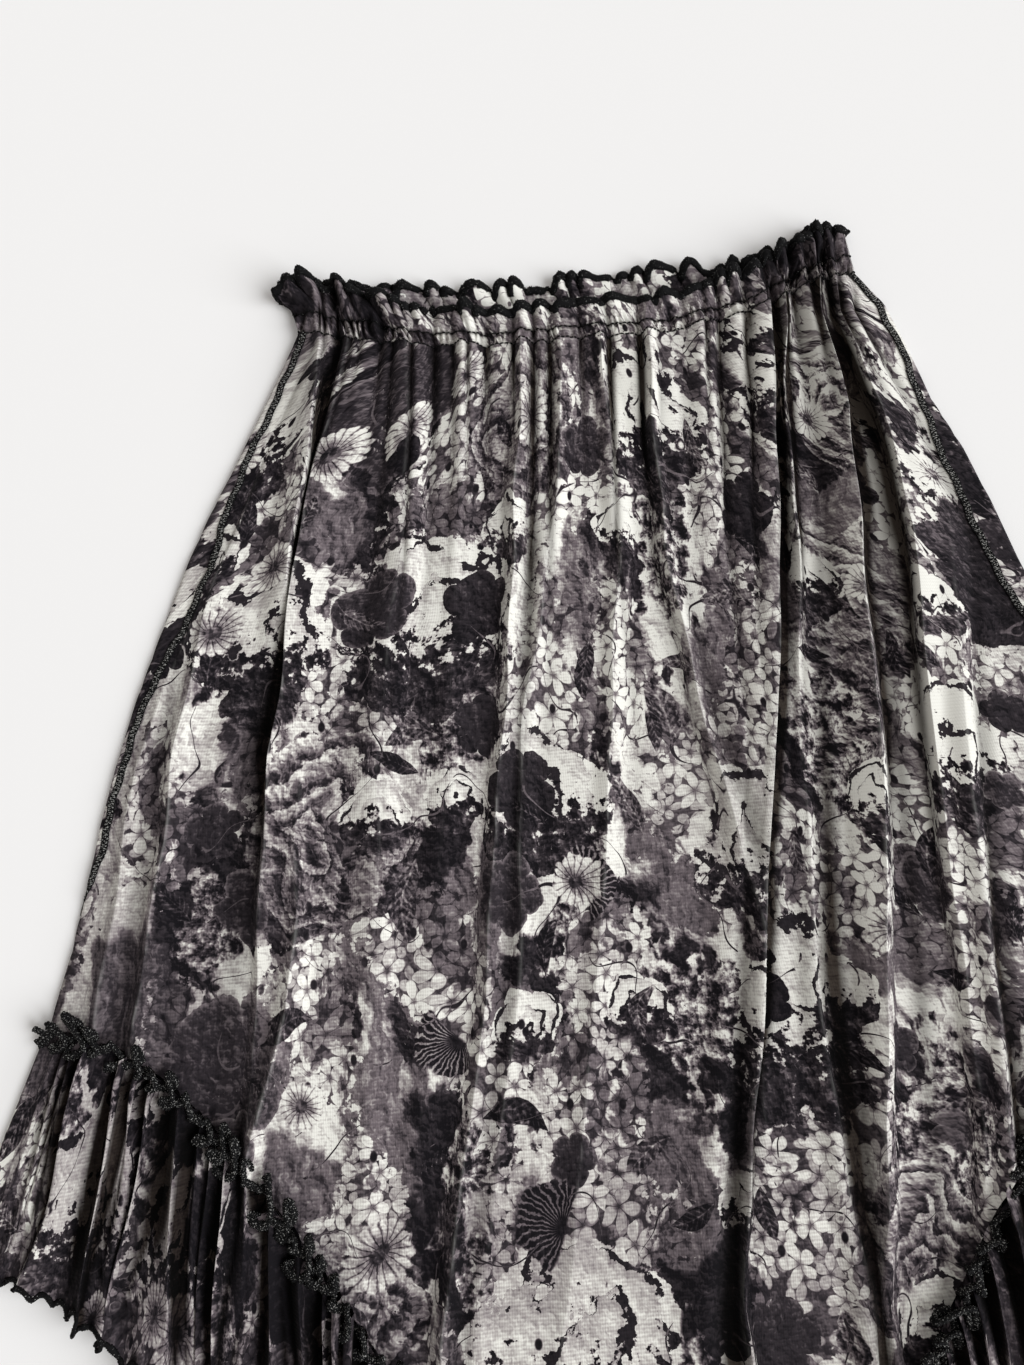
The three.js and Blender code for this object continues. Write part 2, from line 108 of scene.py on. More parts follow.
# Each fold of the front, from left to right: its crest's place and its height at the stations, its
# # reach to the left and right, how far it leans to the right, how much cloth is tucked away beside
# # it, and how sharply it is creased, from 0 to 1, which also sets its crest's painted highlight.
FOLDS = [
    ((-158, -186, -214, -253, -272, -282), (0, 0, 1, 6, 6, 3), 9, 9, -1, 2, 0.6),
    ((-156, -180, -208, -230, -253, -266), (0, 1, 4, 8, 7, 3), 10, 13, -2, 3, 0.8),
    ((-150, -160, -173, -186, -200, -216), (9, 11, 10, 4, 0, 0), 13, 9, 6, 14, 0.5),
    ((-129, -145, -161, -178, -191, -206), (4, 6, 9, 10, 5, 0), 9, 26, -5, 10, 0.9),
    ((-150, -152, -156, -163, -176, -222), (0, 0, 0, 0, 8, 9), 8, 9, 0, 2, 1.0),
    ((-97, -102, -109, -124, -136, -150), (6, 7, 8, 6, 4, 3), 18, 16, 1, 4, 0.3),
    ((-66, -70, -76, -88, -104, -132), (6, 5, 3, 2, 2, 2), 13, 13, 0, 1, 0.1),
    ((-32, -36, -43, -57, -74, -106), (6, 8, 9, 8, 6, 7), 10, 17, -3, 8, 0.9),
    ((-12, -15, -28, -46, -60, -90), (2, 4, 6, 5, 2, 1), 8, 10, 0, 2, 0.8),
    ((13, 12, 11, 0, -20, -50), (5, 6, 6, 5, 3, 2), 9, 11, 0, 3, 0.8),
    ((41, 39, 40, 50, 66, 50), (6, 8, 8, 8, 2, 0), 9, 16, -3, 8, 0.9),
    ((70, 68, 66, 62, 59, 44), (5, 4, 3, 0, 0, 0), 13, 13, 0, 0, 0.1),
    ((104, 98, 91, 80, 58, 33), (10, 13, 14, 14, 13, 9), 27, 8, 7, 24, 0.9),
    ((117, 109, 108, 100, 91, 97), (9, 10, 9, 3, 6, 8), 10, 8, 2, 8, 0.6),
    ((135, 141, 139, 134, 125, 103), (11, 14, 14, 12, 11, 9), 16, 12, 4, 16, 0.8),
    ((153, 168, 177, 172, 170, 165), (8, 11, 11, 10, 7, 5), 8, 30, -5, 18, 0.6),
    ((159, 184, 196, 189, 183, 176), (0, 0, 1, 6, 9, 8), 10, 22, -2, 5, 0.7),
    ((163, 204, 230, 250, 264, 275), (0, 1, 3, 5, 5, 2), 18, 16, 1, 0, 0.2),
]
CREST_WIDTH = 0.9  # the half width of the painted highlight along a fold's crest
WAVE_TRAINS = 7  # how many waves an uneven surface is made of
GATHERS_FROM, GATHERS_TO = -157.0, 158.0
CASING_PUFF, PUFF_REACH = 5.5, 70  # the front's fullness under the casing, and its reach down

# Valleys beside the folds, where the cloth is lowered and painted shade darkens it: their places,
# # depths and half widths at the stations.
VALLEYS = [
    ((-218, -220, -224, -243, -263, -275), (0, 0, 2, 4, 4, 1), (3, 3, 3, 4, 5, 5)),
    ((-137, -152, -168, -192, -208, -215), (4, 5, 6, 6, 4, 0), (2, 2, 3, 8, 9, 7)),
    ((-26, -30, -36, -50, -66, -98), (3, 4, 4, 4, 4, 4), (2, 2, 3, 3, 4, 4)),
    ((47, 45, 46, 57, 70, 60), (3, 4, 4, 5, 2, 0), (2, 2, 3, 4, 4, 4)),
    ((97, 91, 84, 73, 50, 28), (0, 0, 0, 0, 5, 11), (3, 3, 3, 3, 4, 6)),
    ((112, 106, 99, 88, 64, 37), (5, 8, 10, 9, 5, 0), (3, 4, 6, 7, 5, 3)),
    ((126, 126, 124, 114, 102, 100), (2, 3, 5, 8, 11, 12), (4, 4, 5, 6, 8, 5)),
    ((144, 153, 157, 152, 146, 138), (2, 3, 5, 7, 7, 3), (3, 3, 5, 6, 6, 4)),
    ((170, 196, 208, 198, 190, 184), (0, 0, 1, 5, 8, 8), (3, 3, 3, 4, 5, 5)),
]

# How the gathers run down the cloth: where those that start at the first place lie at the
# stations.
FLOW = np.array([
    (-161, -193, -225, -265, -300, -305),
    (-97, -102, -109, -124, -136, -150),
    (-32, -36, -43, -57, -74, -106),
    (41, 39, 37, 46, 40, 14),
    (104, 98, 91, 80, 58, 33),
    (135, 141, 139, 132, 119, 108),
    (164, 192, 214, 247, 285, 305),
])


def smooth(x):
    x = np.clip(x, 0.0, 1.0)
    return x * x * (3 - 2 * x)


def mix(a, b, share):
    return a + (b - a) * share


def hill(x, middle, width):
    """A rounded hump that is 1 at its middle."""
    return np.exp(-(((x - middle) / width) ** 2))


def waves(x, y, seed):
    """A soft, seeded, uneven surface from about -1 to 1, with features about one unit across."""
    rng = np.random.RandomState(seed)
    total = np.zeros(np.broadcast(x, y).shape)
    for _ in range(WAVE_TRAINS):
        angle, phase = rng.uniform(0, math.tau, 2)
        pace = rng.uniform(0.6, 1.8) * math.pi
        total += np.sin(pace * (x * math.cos(angle) + y * math.sin(angle)) + phase)
    return total / math.sqrt(WAVE_TRAINS)


def factor(x, y, seed, middle=0.9, swing=0.5, low=0.3, high=1.6):
    """A factor that wanders about its middle, for sizes that differ from place to place."""
    return np.clip(middle + swing * waves(x, y, seed), low, high)


def make_gathers():
    """The pinches of cloth under the casing: place, depth, reach down the skirt and half width.
    They stand closer together towards the ends of the waist."""
    rng = np.random.RandomState(11)
    rows = []
    x = GATHERS_FROM
    while x < GATHERS_TO:
        crowding = smooth((abs(x + 10) - 60) / 80)
        x += mix(12.5, 6.5, crowding) * rng.uniform(0.6, 1.45)
        depth = mix(6.0, 7.0, crowding) * rng.uniform(0.45, 1.15)
        reach = mix(75.0, 60.0, crowding) * math.exp(rng.normal(0, 0.55))
        rows.append((x, depth, min(reach, 190.0), rng.uniform(1.4, 2.6)))
    return rows


GATHERS = make_gathers()


def gather_place(x, drop):
    """Where a point's line of gathers starts at the waist."""
    tracks = [np.interp(drop, STATIONS, row) for row in FLOW]
    starts = FLOW[:, 0]
    result = np.full(x.shape, starts[0], dtype=float)
    for low, high, track_low, track_high in zip(starts, starts[1:], tracks, tracks[1:]):
        share = np.clip((x - track_low) / (track_high - track_low), 0, 1)
        result = np.where(x >= track_low, mix(low, high, share), result)
    return result


def fold_crest(index, drop):
    wander = 1.3 * waves(drop / 55, 3.7 * index, 40)
    return np.interp(drop, STATIONS, FOLDS[index][0]) + wander


def relief(x, drop, free):
    """The front's folds and gathers: how far they move cloth sideways and up, how much of it
    they tuck away, where a painted highlight lies along their crests and how much painted shade
    lies in their valleys and notches. "free" says how far the cloth may leave the layer below."""
    sideways, up, tucked, painted_crest_highlight, painted_groove_shade = (np.zeros_like(x) for _ in range(5))
    widen = np.interp(drop, (0, 120, 540), (0.75, 1.0, 1.2))
    for index, (_, heights, left, right, lean, tuck, crisp) in enumerate(FOLDS):
        high = np.interp(drop, STATIONS, heights)
        off = x - fold_crest(index, drop)
        share = np.clip(off / (np.where(off < 0, left, right) * widen), -1, 1)
        rounded = (1 + np.cos(math.pi * share)) / 2
        pointed = (1 - np.abs(share)) ** 1.6
        bump = mix(rounded, pointed, crisp * 0.75)
        strength = high / max(heights)
        up += high * bump
        sideways += lean * bump * strength
        edge = right * 0.75 if lean >= 0 else -left * 0.75
        tucked += tuck * strength * smooth((off - edge) / 5 + 0.5)
        # Painted highlight along the crest.
        painted_crest_highlight = np.maximum(painted_crest_highlight, crisp * strength * hill(off, 0, CREST_WIDTH))
    for rows in VALLEYS:
        place, deep, half = (np.interp(drop, STATIONS, row) for row in rows)
        valley = deep * hill(x, place, half)
        up -= valley
        # Painted shade along the valley.
        painted_groove_shade += 0.1 * valley
    start = gather_place(x, drop)
    below = np.maximum(drop - np.interp(start, (-160, 0, 163), (9, 26, -6)), 0)
    up += CASING_PUFF * np.exp(-below / PUFF_REACH)
    for place, depth, reach, half in GATHERS:
        deep = depth * np.exp(-((below / reach) ** 1.4))
        notch = deep * np.exp(-np.abs((start - place) / half) ** 1.5)
        up -= notch
        # Painted shade in the notch.
        painted_groove_shade += 0.22 * notch
        tucked += 1.6 * deep * smooth((start - place) / (2.2 * half) + 0.5)
    up += 0.7 * waves(x / 30, drop / 70, 3) * smooth(below / 60)
    up = 0.5 * (up + np.sqrt(up * up + 1.2))
    return sideways * free, up * free, tucked, painted_crest_highlight * free, painted_groove_shade * free


# ---- The flat tube ----
class Girth:
    """One turn of the tube: how far out its two sides are, and the radius of the folds there."""

    def __init__(self, left, right, turn):
        self.left, self.right, self.turn = left, right, turn
        self.flat = left + right - 2 * turn
        self.half = self.flat + math.pi * turn

    def place(self, distance):
        """x, the height above the lower layer, and the share on the upper layer, for distances
        round the girth from the outermost point of its left fold."""
        turn, straight = self.turn, math.pi / 2
        quarter = straight * turn
        along = np.mod(distance + quarter, 2 * self.half) - quarter
        past = along - quarter - self.flat
        left_angle = np.clip(along / turn, -straight, straight)
        right_angle = np.clip(straight - past / turn, -straight, straight)
        over = along <= quarter + self.flat
        angle = np.where(over, left_angle, right_angle)
        from_left = turn * (1 - np.cos(left_angle)) + np.clip(along - quarter, 0, None)
        from_right = turn * (1 - np.cos(right_angle)) + np.clip(past - 2 * quarter, 0, None)
        x = np.where(over, from_left - self.left, self.right - from_right)
        return x, turn + turn * np.sin(angle), smooth((np.sin(angle) + 1) / 2)

    def across(self, x):
        """The share across the girth, from -1 at the left to 1 at the right."""
        return np.clip((2 * x + self.left - self.right) / (self.left + self.right), -1, 1)

    def free(self, x, upper):
        """How far a point of the upper layer may leave the lower one: not at all at the sides."""
        from_side = np.minimum(x + self.left, self.right - x)
        return smooth((from_side - 2) / 20) * (upper >= 1)


def seam_drop(across):
    return SIDE_SEAM_DROP + SEAM_DIP * (1 + np.cos(math.pi * across)) / 2


def hem_drop(across):
    share = (1 + np.cos(math.pi * across)) / 2
    return seam_drop(across) + mix(FLOUNCE_SIDE, FLOUNCE_MIDDLE, share)


def waist_drop(across, upper, rim=False):
    column = 2 if rim else 1
    front = np.interp(across, WAIST[:, 0], WAIST[:, column])
    back = np.interp(across, WAIST[:, 0], WAIST[:, column + 2])
    return mix(back, front, upper)


def panel_drop(across, upper, down):
    """The drop of a point on a panel, "down" its share of the way from the waist to the seam."""
    return mix(waist_drop(across, upper), seam_drop(across), down)


def side_at(down):
    """The girth of a row of the panels, and how far in its two seams lie."""
    left, right, *seams = (float(np.interp(down, SIDE[:, 0], column)) for column in SIDE.T[1:])
    turn = mix(BODY_TURN, WAIST_TURN, math.exp(-down / WAIST_TURN_REACH))
    return Girth(left, right, turn), *seams


# ---- The print's flowers ----
FLOWER_SIZES = (120.0, 52.0, 34.0)


def chance(column, row, seed):
    """A random number from 0 to 1 that belongs to a cell."""
    value = np.sin(column * 12.9898 + row * 78.233 + seed * 37.719) * 43758.5453
    return value - np.floor(value)


def flower_cells(uv, size, seed):
    """The flower nearest each point of a sheet: the place within it in its own radii, its two
    random numbers, how far above its middle the point is, and 1 wherever one flower is sure."""
    u, v = uv[..., 0], uv[..., 1]
    nearest = np.full(u.shape, np.inf)
    local, nature = (np.zeros(u.shape + (3,)) for _ in range(2))
    name = np.zeros(u.shape)
    for row_step in (-1, 0, 1):
        row = np.floor(v / size) + row_step
        shift = np.mod(row, 2) * 0.5
        for column_step in (-1, 0, 1):
            column = np.floor(u / size - shift) + column_step
            wander = [chance(column, row, seed + k) - 0.5 for k in range(6)]
            radius = size * (0.42 + 0.16 * wander[2])
            right = (u - (column + shift + 0.5 + 0.42 * wander[0]) * size) / radius
            down = (v - (row + 0.5 + 0.42 * wander[1]) * size) / radius
            closer = np.hypot(right, down) < nearest
            nearest = np.where(closer, np.hypot(right, down), nearest)
            cos, sin = np.cos(math.tau * wander[3]), np.sin(math.tau * wander[3])
            place = np.stack([right * cos + down * sin, down * cos - right * sin, right * 0], -1)
            own = np.stack([wander[4] + 0.5, wander[5] + 0.5, -down], -1)
            local = np.where(closer[..., None], place, local)
            nature = np.where(closer[..., None], own, nature)
            name = np.where(closer, column * 1000 + row, name)
    sure = np.ones(name.shape)
    rows, columns = np.nonzero(np.diff(name, axis=0))
    sure[rows, columns] = sure[rows + 1, columns] = 0
    rows, columns = np.nonzero(np.diff(name, axis=1))
    sure[rows, columns] = sure[rows, columns + 1] = 0
    local[..., 2] = sure
    return local, nature


# ---- Meshes ----
LEAST_HEIGHT = 0.02  # of a thread above the surface


def add_attribute(mesh, name, values):
    kind = "FLOAT" if values.shape[-1] == 1 else "FLOAT_VECTOR"
    attribute = mesh.attributes.new(name, kind, "POINT")
    field = "value" if kind == "FLOAT" else "vector"
    attribute.data.foreach_set(field, values.astype(np.float32).ravel())


def grid_quads(rows, columns, wrap_rows=False):
    """The corners of the faces between rows of points. "wrap_rows" joins the last row to the
    first."""
    i, j = np.indices((rows if wrap_rows else rows - 1, columns - 1)).reshape(2, -1)
    row, below = i * columns, (i + 1) % rows * columns
    return np.stack([row + j, below + j, below + j + 1, row + j + 1], axis=1).astype(np.int32)


def make_mesh(name, points, quads, uv=None):
    """An object from points in millimetres and four-cornered faces."""
    mesh = bpy.data.meshes.new(name)
    mesh.vertices.add(len(points))
    mesh.vertices.foreach_set("co", (points.reshape(-1) * MM).astype(np.float32))
    mesh.loops.add(quads.size)
    mesh.loops.foreach_set("vertex_index", quads.ravel())
    mesh.polygons.add(len(quads))
    mesh.polygons.foreach_set("loop_start", np.arange(0, quads.size, 4, dtype=np.int32))
    mesh.polygons.foreach_set("use_smooth", np.ones(len(quads), dtype=bool))
    mesh.update(calc_edges=True)
    if uv is not None:
        layer = mesh.uv_layers.new(name="cloth")
        layer.data.foreach_set("uv", (uv[quads.ravel()] * MM).astype(np.float32).ravel())
    return add_object(name, mesh)


def add_object(name, data):
    made = bpy.data.objects.new(name, data)
    bpy.context.scene.collection.objects.link(made)
    return made


def cloth_mesh(name, points, uv, **marks):
    """A sheet of printed cloth from rows of points, with its cloth coordinates, the shade painted
    into its hollows and the highlight painted on its creases, how dark its print is, and the
    flowers on it."""
    rows, columns = points.shape[:2]
    piece = make_mesh(name, points.reshape(-1, 3), grid_quads(rows, columns), uv.reshape(-1, 2))
    for mark in ("hollow", "painted_crest_highlight", "shade"):
        add_attribute(piece.data, mark, marks.get(mark, np.zeros((rows, columns)))[..., None])
    for number, size in enumerate(FLOWER_SIZES, 1):
        local, nature = flower_cells(uv, size, 10 * number)
        add_attribute(piece.data, f"flower_{number}", local)
        add_attribute(piece.data, f"nature_{number}", nature)
    return piece


def joined_tubes(name, *grids):
    """Tubes and strips of thread as one object. A tube's points are shaped (sides, length, 3),
    and True beside them says that they close round it."""
    points, quads, count = [], [], 0
    for grid, is_tube in grids:
        sides, length = grid.shape[:2]
        quads.append(grid_quads(sides, length, wrap_rows=is_tube) + count)
        points.append(grid.reshape(-1, 3))
        count += sides * length
    points = np.concatenate(points)
    points[:, 2] = np.maximum(points[:, 2], LEAST_HEIGHT)
    return make_mesh(name, points, np.concatenate(quads))


def to_points(x, drop, z):
    return np.stack([x, WAIST_Y - drop, z], axis=-1)


def stacked(rows):
    """From a list of rows, each with the same kinds of values, one array for each kind."""
    return (np.array(values) for values in zip(*rows))


def sheet_places(along, drop):
    return np.stack(np.broadcast_arrays(along, drop), axis=-1)


def along_rows(x, z, tucked=0.0):
    """How far along the cloth each point of a row lies from the row's start, with the cloth that
    is tucked away counted."""
    steps = np.hypot(np.diff(x), np.diff(z)) + np.abs(np.diff(tucked + 0 * x))
    return np.concatenate([np.zeros((len(x), 1)), np.cumsum(steps, axis=1)], axis=1)


def hollow_of(x, z, slope=0.9, deepest=8.0):
    """How deep each point lies below the crests beside it along its row, from 0 to 1."""
    steps = np.abs(np.diff(x, axis=1)) * slope
    crest = z.copy()
    for j in range(1, z.shape[1]):
        crest[:, j] = np.maximum(crest[:, j], crest[:, j - 1] - steps[:, j - 1])
    for j in range(z.shape[1] - 2, -1, -1):
        crest[:, j] = np.maximum(crest[:, j], crest[:, j + 1] - steps[:, j])
    return smooth((crest - z) / deepest)


# ---- The panels ----
PANEL_ROWS, FRONT_COLUMNS, BACK_COLUMNS, BACK_EDGE_COLUMNS = 150, 620, 148, 26
KNOT_GAP = 1.5  # the least distance between the crests' columns
CREST_CROWDING = 0.6  # how strongly the columns crowd at the crests, from 0 to 1
GAP_BONUS = 6  # counted with each gap between crests, so that narrow ones get columns too
WAIST_CROWDING = 1.2  # above 1, the front's rows crowd at the waist
BACK_EDGE = 30.0  # how far round from each side the back's columns crowd
BACK_PRINT, FLOUNCE_PRINT, FRILL_PRINT = 1500, 900, 1400  # where on the print these are cut

# Where the print is paler or darker overall: by how much, the x and drop of the place's
# middle, and its half width and height.
SHADES = (
    (0.16, 0, 150, 60, 150),
    (0.12, -150, 400, 60, 60),
    (0.28, 130, 50, 24, 45),
    (0.1, -110, 60, 40, 40),
    (0.3, 178, 110, 28, 60),
    (0.17, 160, 220, 60, 190),
    (-0.34, -140, -5, 42, 22),
    (-0.46, 130, -22, 40, 24),
    (-0.14, -240, 370, 40, 60),
    (-0.1, -60, 500, 80, 50),
    (-0.36, 4, 600, 28, 26),
)


def print_shade(x, drop):
    return sum(
        much * hill(x, place, wide) * hill(drop, fall, tall)
        for much, place, fall, wide, tall in SHADES
    )


def crest_shares(counts):
    """For each column its interval between two knots and its share of it: columns crowd at the
    knots, which lie along the folds' crests."""
    interval = np.append(np.repeat(np.arange(len(counts)), counts), len(counts) - 1)
    share = np.append(np.concatenate([np.arange(n) / n for n in counts]), 1.0)
    return interval, share - CREST_CROWDING / math.tau * np.sin(math.tau * share)


def knots_of_row(down):
    """A row's girth, and the distances round it of its seams and of the crests between them."""
    girth, seam_left, seam_right = side_at(down)
    first, last = seam_left, girth.half - seam_right
    knots = [first]
    for index in range(len(FOLDS)):
        x = np.array([float(FOLDS[index][0][2])])
        for _ in range(4):  # a crest's place and its drop depend on each other
            x = fold_crest(index, panel_drop(girth.across(x), np.ones(1), down))
        knots.append(float(x[0]) + girth.left + (math.pi / 2 - 1) * girth.turn)
    knots.append(last)
    count = len(knots)
    for k in range(1, count):
        low, high = first + KNOT_GAP * k, last - KNOT_GAP * (count - 1 - k)
        knots[k] = min(max(knots[k], knots[k - 1] + KNOT_GAP, low), high)
    return girth, np.array(knots)


def front_panel():
    gaps = np.diff(knots_of_row(0.45)[1]) + GAP_BONUS
    counts = np.round(gaps / gaps.sum() * FRONT_COLUMNS).astype(int)
    interval, share = crest_shares(counts)
    rows = []
    for down in np.linspace(0, 1, PANEL_ROWS) ** WAIST_CROWDING:
        girth, knots = knots_of_row(down)
        flat_x, rise, upper = girth.place(mix(knots[interval], knots[interval + 1], share))
        drop = panel_drop(girth.across(flat_x), upper, down)
        sideways, up, *marks = relief(flat_x, drop, girth.free(flat_x, upper))
        rows.append((flat_x, flat_x + sideways, drop, REST + rise + up, *marks))
    flat_x, x, drop, z, tucked, painted_crest_highlight, painted_groove_shade = stacked(rows)
    along = along_rows(x, z, tucked)
    start = np.array([[np.interp(0, *row)] for row in zip(flat_x, along)])
    # Painted shade: darker where the cloth lies deep below the crests beside it, and in the painted
    # grooves.
    hollow = np.clip(hollow_of(x, z) + painted_groove_shade, 0, 1)
    marks = {"hollow": hollow, "painted_crest_highlight": painted_crest_highlight, "shade": print_shade(x, drop)}
    uv = sheet_places(along - start, drop)
    return cloth_mesh("front_cloth", to_points(x, drop, z), uv, **marks)


def back_panel():
    near = np.linspace(1, 0, BACK_EDGE_COLUMNS) ** 1.3
    middle = np.linspace(0, 1, BACK_COLUMNS + 2)[1:-1]
    rows = []
    for down in np.linspace(0, 1, PANEL_ROWS):
        girth, seam_left, seam_right = side_at(down)
        distance = np.concatenate([
            2 * girth.half + mix(-BACK_EDGE, seam_left, near),
            mix(2 * girth.half - BACK_EDGE, girth.half + BACK_EDGE, middle),
            girth.half - mix(-BACK_EDGE, seam_right, near[::-1]),
        ])
        x, rise, upper = girth.place(distance)
        drop = panel_drop(girth.across(x), upper, down)
        rumple = np.clip(0.6 + 0.6 * waves(x / 45, drop / 90, 8), 0, None)
        rows.append((x, drop, REST + rise + rumple * (1 - 0.5 * upper)))
    x, drop, z = stacked(rows)
    along = along_rows(x, z)
    start = along[:, x.shape[1] // 2 + 1, None]
    uv = sheet_places(along - start + BACK_PRINT, drop)
    return cloth_mesh("back_cloth", to_points(x, drop, z), uv)


# ---- The heading ----
CASING_SHARE = 0.36  # where the casing's upper stitching is, from the lower one to the rim
CASING_ROWS, RUFFLE_ROWS = 9, 15
HEADING_COLUMNS = (900, 560)  # on the front and the back
RIM_LEFT, RIM_RIGHT = 12, -3  # how far the rim's ends lie outside the casing's
CRIMP_PITCH = 4.1
# The waves of the ruffle, counted from its middle: places across, and the count at each.
FRONT_TURNS = ((-1, -0.5, 0.5, 1), (-12.5, -3.8, 3.6, 12.5))
BACK_TURNS = ((-1, -0.6, 0.6, 1), (-12.5, -7.2, 7.2, 12.5))
RING_END, RING_END_COLUMNS = 14.0, 24  # a ring's strip round each side


def ring_distances(girth, front_columns, back_columns):
    """Distances round a ring from the middle of its back, over the left side and the front, and
    round the right side to the middle of the back again."""
    stops = (girth.half * -0.5, -RING_END, RING_END, girth.half - RING_END, girth.half + RING_END)
    counts = (back_columns // 2, RING_END_COLUMNS, front_columns, RING_END_COLUMNS)
    parts = [np.linspace(*stretch, endpoint=False) for stretch in zip(stops, stops[1:], counts)]
    return np.concatenate([*parts, np.linspace(stops[-1], girth.half * 1.5, back_columns // 2)])


def heading_points(level):
    """A row of the casing and heading: level 0 at the lower stitching, 1 at the rim."""
    _, left, right, *_ = SIDE[0]
    flare = level ** 1.5
    girth = Girth(left + RIM_LEFT * flare, right + RIM_RIGHT * flare, WAIST_TURN)
    flat_x, rise, upper = girth.place(ring_distances(girth, *HEADING_COLUMNS))
    across = girth.across(flat_x)
    stitch, rim = (waist_drop(across, upper, rim=is_rim) for is_rim in (False, True))
    sideways, up, tucked, _, painted_groove_shade = relief(flat_x, stitch, girth.free(flat_x, upper))
    ruffle = smooth((level - CASING_SHARE) / (1 - CASING_SHARE))
    crowding = smooth((np.abs(across) - 0.5) / 0.3)
    casing = hill(level, CASING_SHARE / 2, 0.3)
    wander = 3.0 * waves(flat_x / 12, upper + 2.5 * level, 5)
    crimp = np.sin(math.tau * flat_x / CRIMP_PITCH + wander)
    crimp *= factor(flat_x / 7, upper + 2 * level, 14, 0.75, 0.55, 0.1, 1.35)
    held = hill(level, CASING_SHARE, 0.05) + hill(level, 0, 0.05)
    turns = mix(np.interp(across, *BACK_TURNS), np.interp(across, *FRONT_TURNS), upper)
    phase = math.tau * turns + 2.5 * waves(flat_x / 21, 3 * upper, 6)
    uneven = factor(flat_x / 15, 4 * upper, 9)
    left_end, right_end = hill(across, -1, 0.05), hill(across, 1, 0.05)
    tip = smooth((np.abs(across) - 0.92) / 0.08)
    crumple = crowding * smooth(level / 0.4) * (1 - 0.8 * tip)
    crumples = waves(flat_x / 5.5, 2.5 * level + 5 * upper, 12)

    high = mix(3.0, mix(3.4, 4.4, crowding), upper) * (1 - 0.6 * smooth((across - 0.82) / 0.14))
    lifted = mix(mix(1.0, 0.55, smooth(level / 0.14)), 0.4, ruffle)
    z = REST + rise + up * lifted - 0.9 * held * upper
    z += (0.9 + 1.3 * crowding) * crimp * casing
    z += high * uneven * (1 + np.sin(phase)) * ruffle
    z += 2.1 * crumple * crumples

    depth = mix(7.5, mix(3.6, 2.8, crowding), upper) * uneven * (1 - 0.6 * tip)
    depth *= 1 - 0.45 * smooth((across - 0.6) / 0.15)
    arch = np.abs(np.sin(phase / 2 + 0.4)) ** 0.6
    drop = mix(stitch, rim, level) - depth * (arch - 0.62) * ruffle
    drop += 2.0 * crumple * waves(flat_x / 8, 2 * level + 5 * upper, 13)
    drop += ruffle * (9.0 * left_end + 4.0 * right_end - 4.0 * hill(across, 0.9, 0.06))

    x = flat_x + sideways * (1 - ruffle) - 1.15 * np.sin(phase + 0.8) * ruffle * uneven
    # Painted shade along the stitching, and in the troughs of the crimps, the ruffle and the
    # crumples.
    painted_groove_shade = painted_groove_shade * (0.3 - 0.15 * ruffle) + 0.6 * held
    painted_groove_shade += (0.4 + 0.5 * crowding) * casing * np.clip(-crimp, 0, 1) ** 2
    painted_groove_shade += 0.3 * ruffle * np.clip(-np.sin(phase), 0, 1) ** 3
    painted_groove_shade += 0.45 * crumple * np.clip(-crumples - 0.2, 0, 1)
    return x, drop, np.maximum(z, REST), tucked * upper, painted_groove_shade, upper


def heading():
    casing = np.linspace(0, CASING_SHARE, CASING_ROWS)
    levels = np.append(casing, np.linspace(CASING_SHARE, 1, RUFFLE_ROWS)[1:])
    x, drop, z, tucked, painted_groove_shade, upper = stacked(map(heading_points, levels))
    along = along_rows(x, z, tucked)[CASING_ROWS + 1]
    uv = sheet_places(along - along[len(along) // 2], drop)
    points = to_points(x, drop, z)
    # Painted shade: a little for the folds' depth, and the painted grooves.
    hollow = np.clip(hollow_of(x, z) * 0.3 + painted_groove_shade, 0, 1)
    shade = print_shade(x, drop) + 0.05 + 0.17 * (1 - upper)
    return cloth_mesh("heading_cloth", points, uv, hollow=hollow, shade=shade), points


# ---- The flounce ----
FLOUNCE_ROWS, HEM_ROWS = 36, 11
HEM_START = 0.85  # where the hem's closer rows begin, down the flounce
FLOUNCE_COLUMNS = (900, 300)  # on the front and the back
FRONT_PLEATS, BACK_PLEATS = 32.0, 20.0  # from the middle to each side
HEM_WAVES = 42  # the hem's scallops, from the middle to each side
LETTUCE = 0.88  # where the hem's own waves begin, down the flounce
FINE_GATHERS = 1.5  # the length of print along each millimetre of gathered cloth


def rib_wave(turns, sharpness):
    """Rounded ribs with narrow valleys, one for each turn, from 0 to 1."""
    return np.abs(np.sin(math.pi * turns)) ** sharpness


def pleat_relief(across, level, upper):
    """The flounce's gathers: sideways and up. They are uneven, and drift as they fall."""
    turns = mix(BACK_PLEATS, FRONT_PLEATS, upper) * across
    turns = turns + 0.55 * waves(across * 13, upper, 21) + 0.5 * waves(across * 2.3, upper, 22)
    turns = turns + 0.35 * waves(across * 9, 1.6 * level, 27) * level
    broad = 0.72 * turns + 0.3 * waves(across * 6, upper, 23)
    size = factor(across * 14, upper, 24, swing=0.4, high=1.5) * smooth((1 - np.abs(across)) / 0.12)
    near_seam = np.exp(-((level / 0.5) ** 1.5))
    small = rib_wave(turns, 0.7) * mix(0.45, 1.0, near_seam)
    large = rib_wave(broad, 0.6) * 1.1 * (1 - near_seam)
    sway = mix(np.sin(math.tau * broad), np.sin(math.tau * turns + 0.5), near_seam)
    return mix(0.6, 2.6, upper) * size * sway, mix(1.4, 10.0, upper) * size * (small + large)


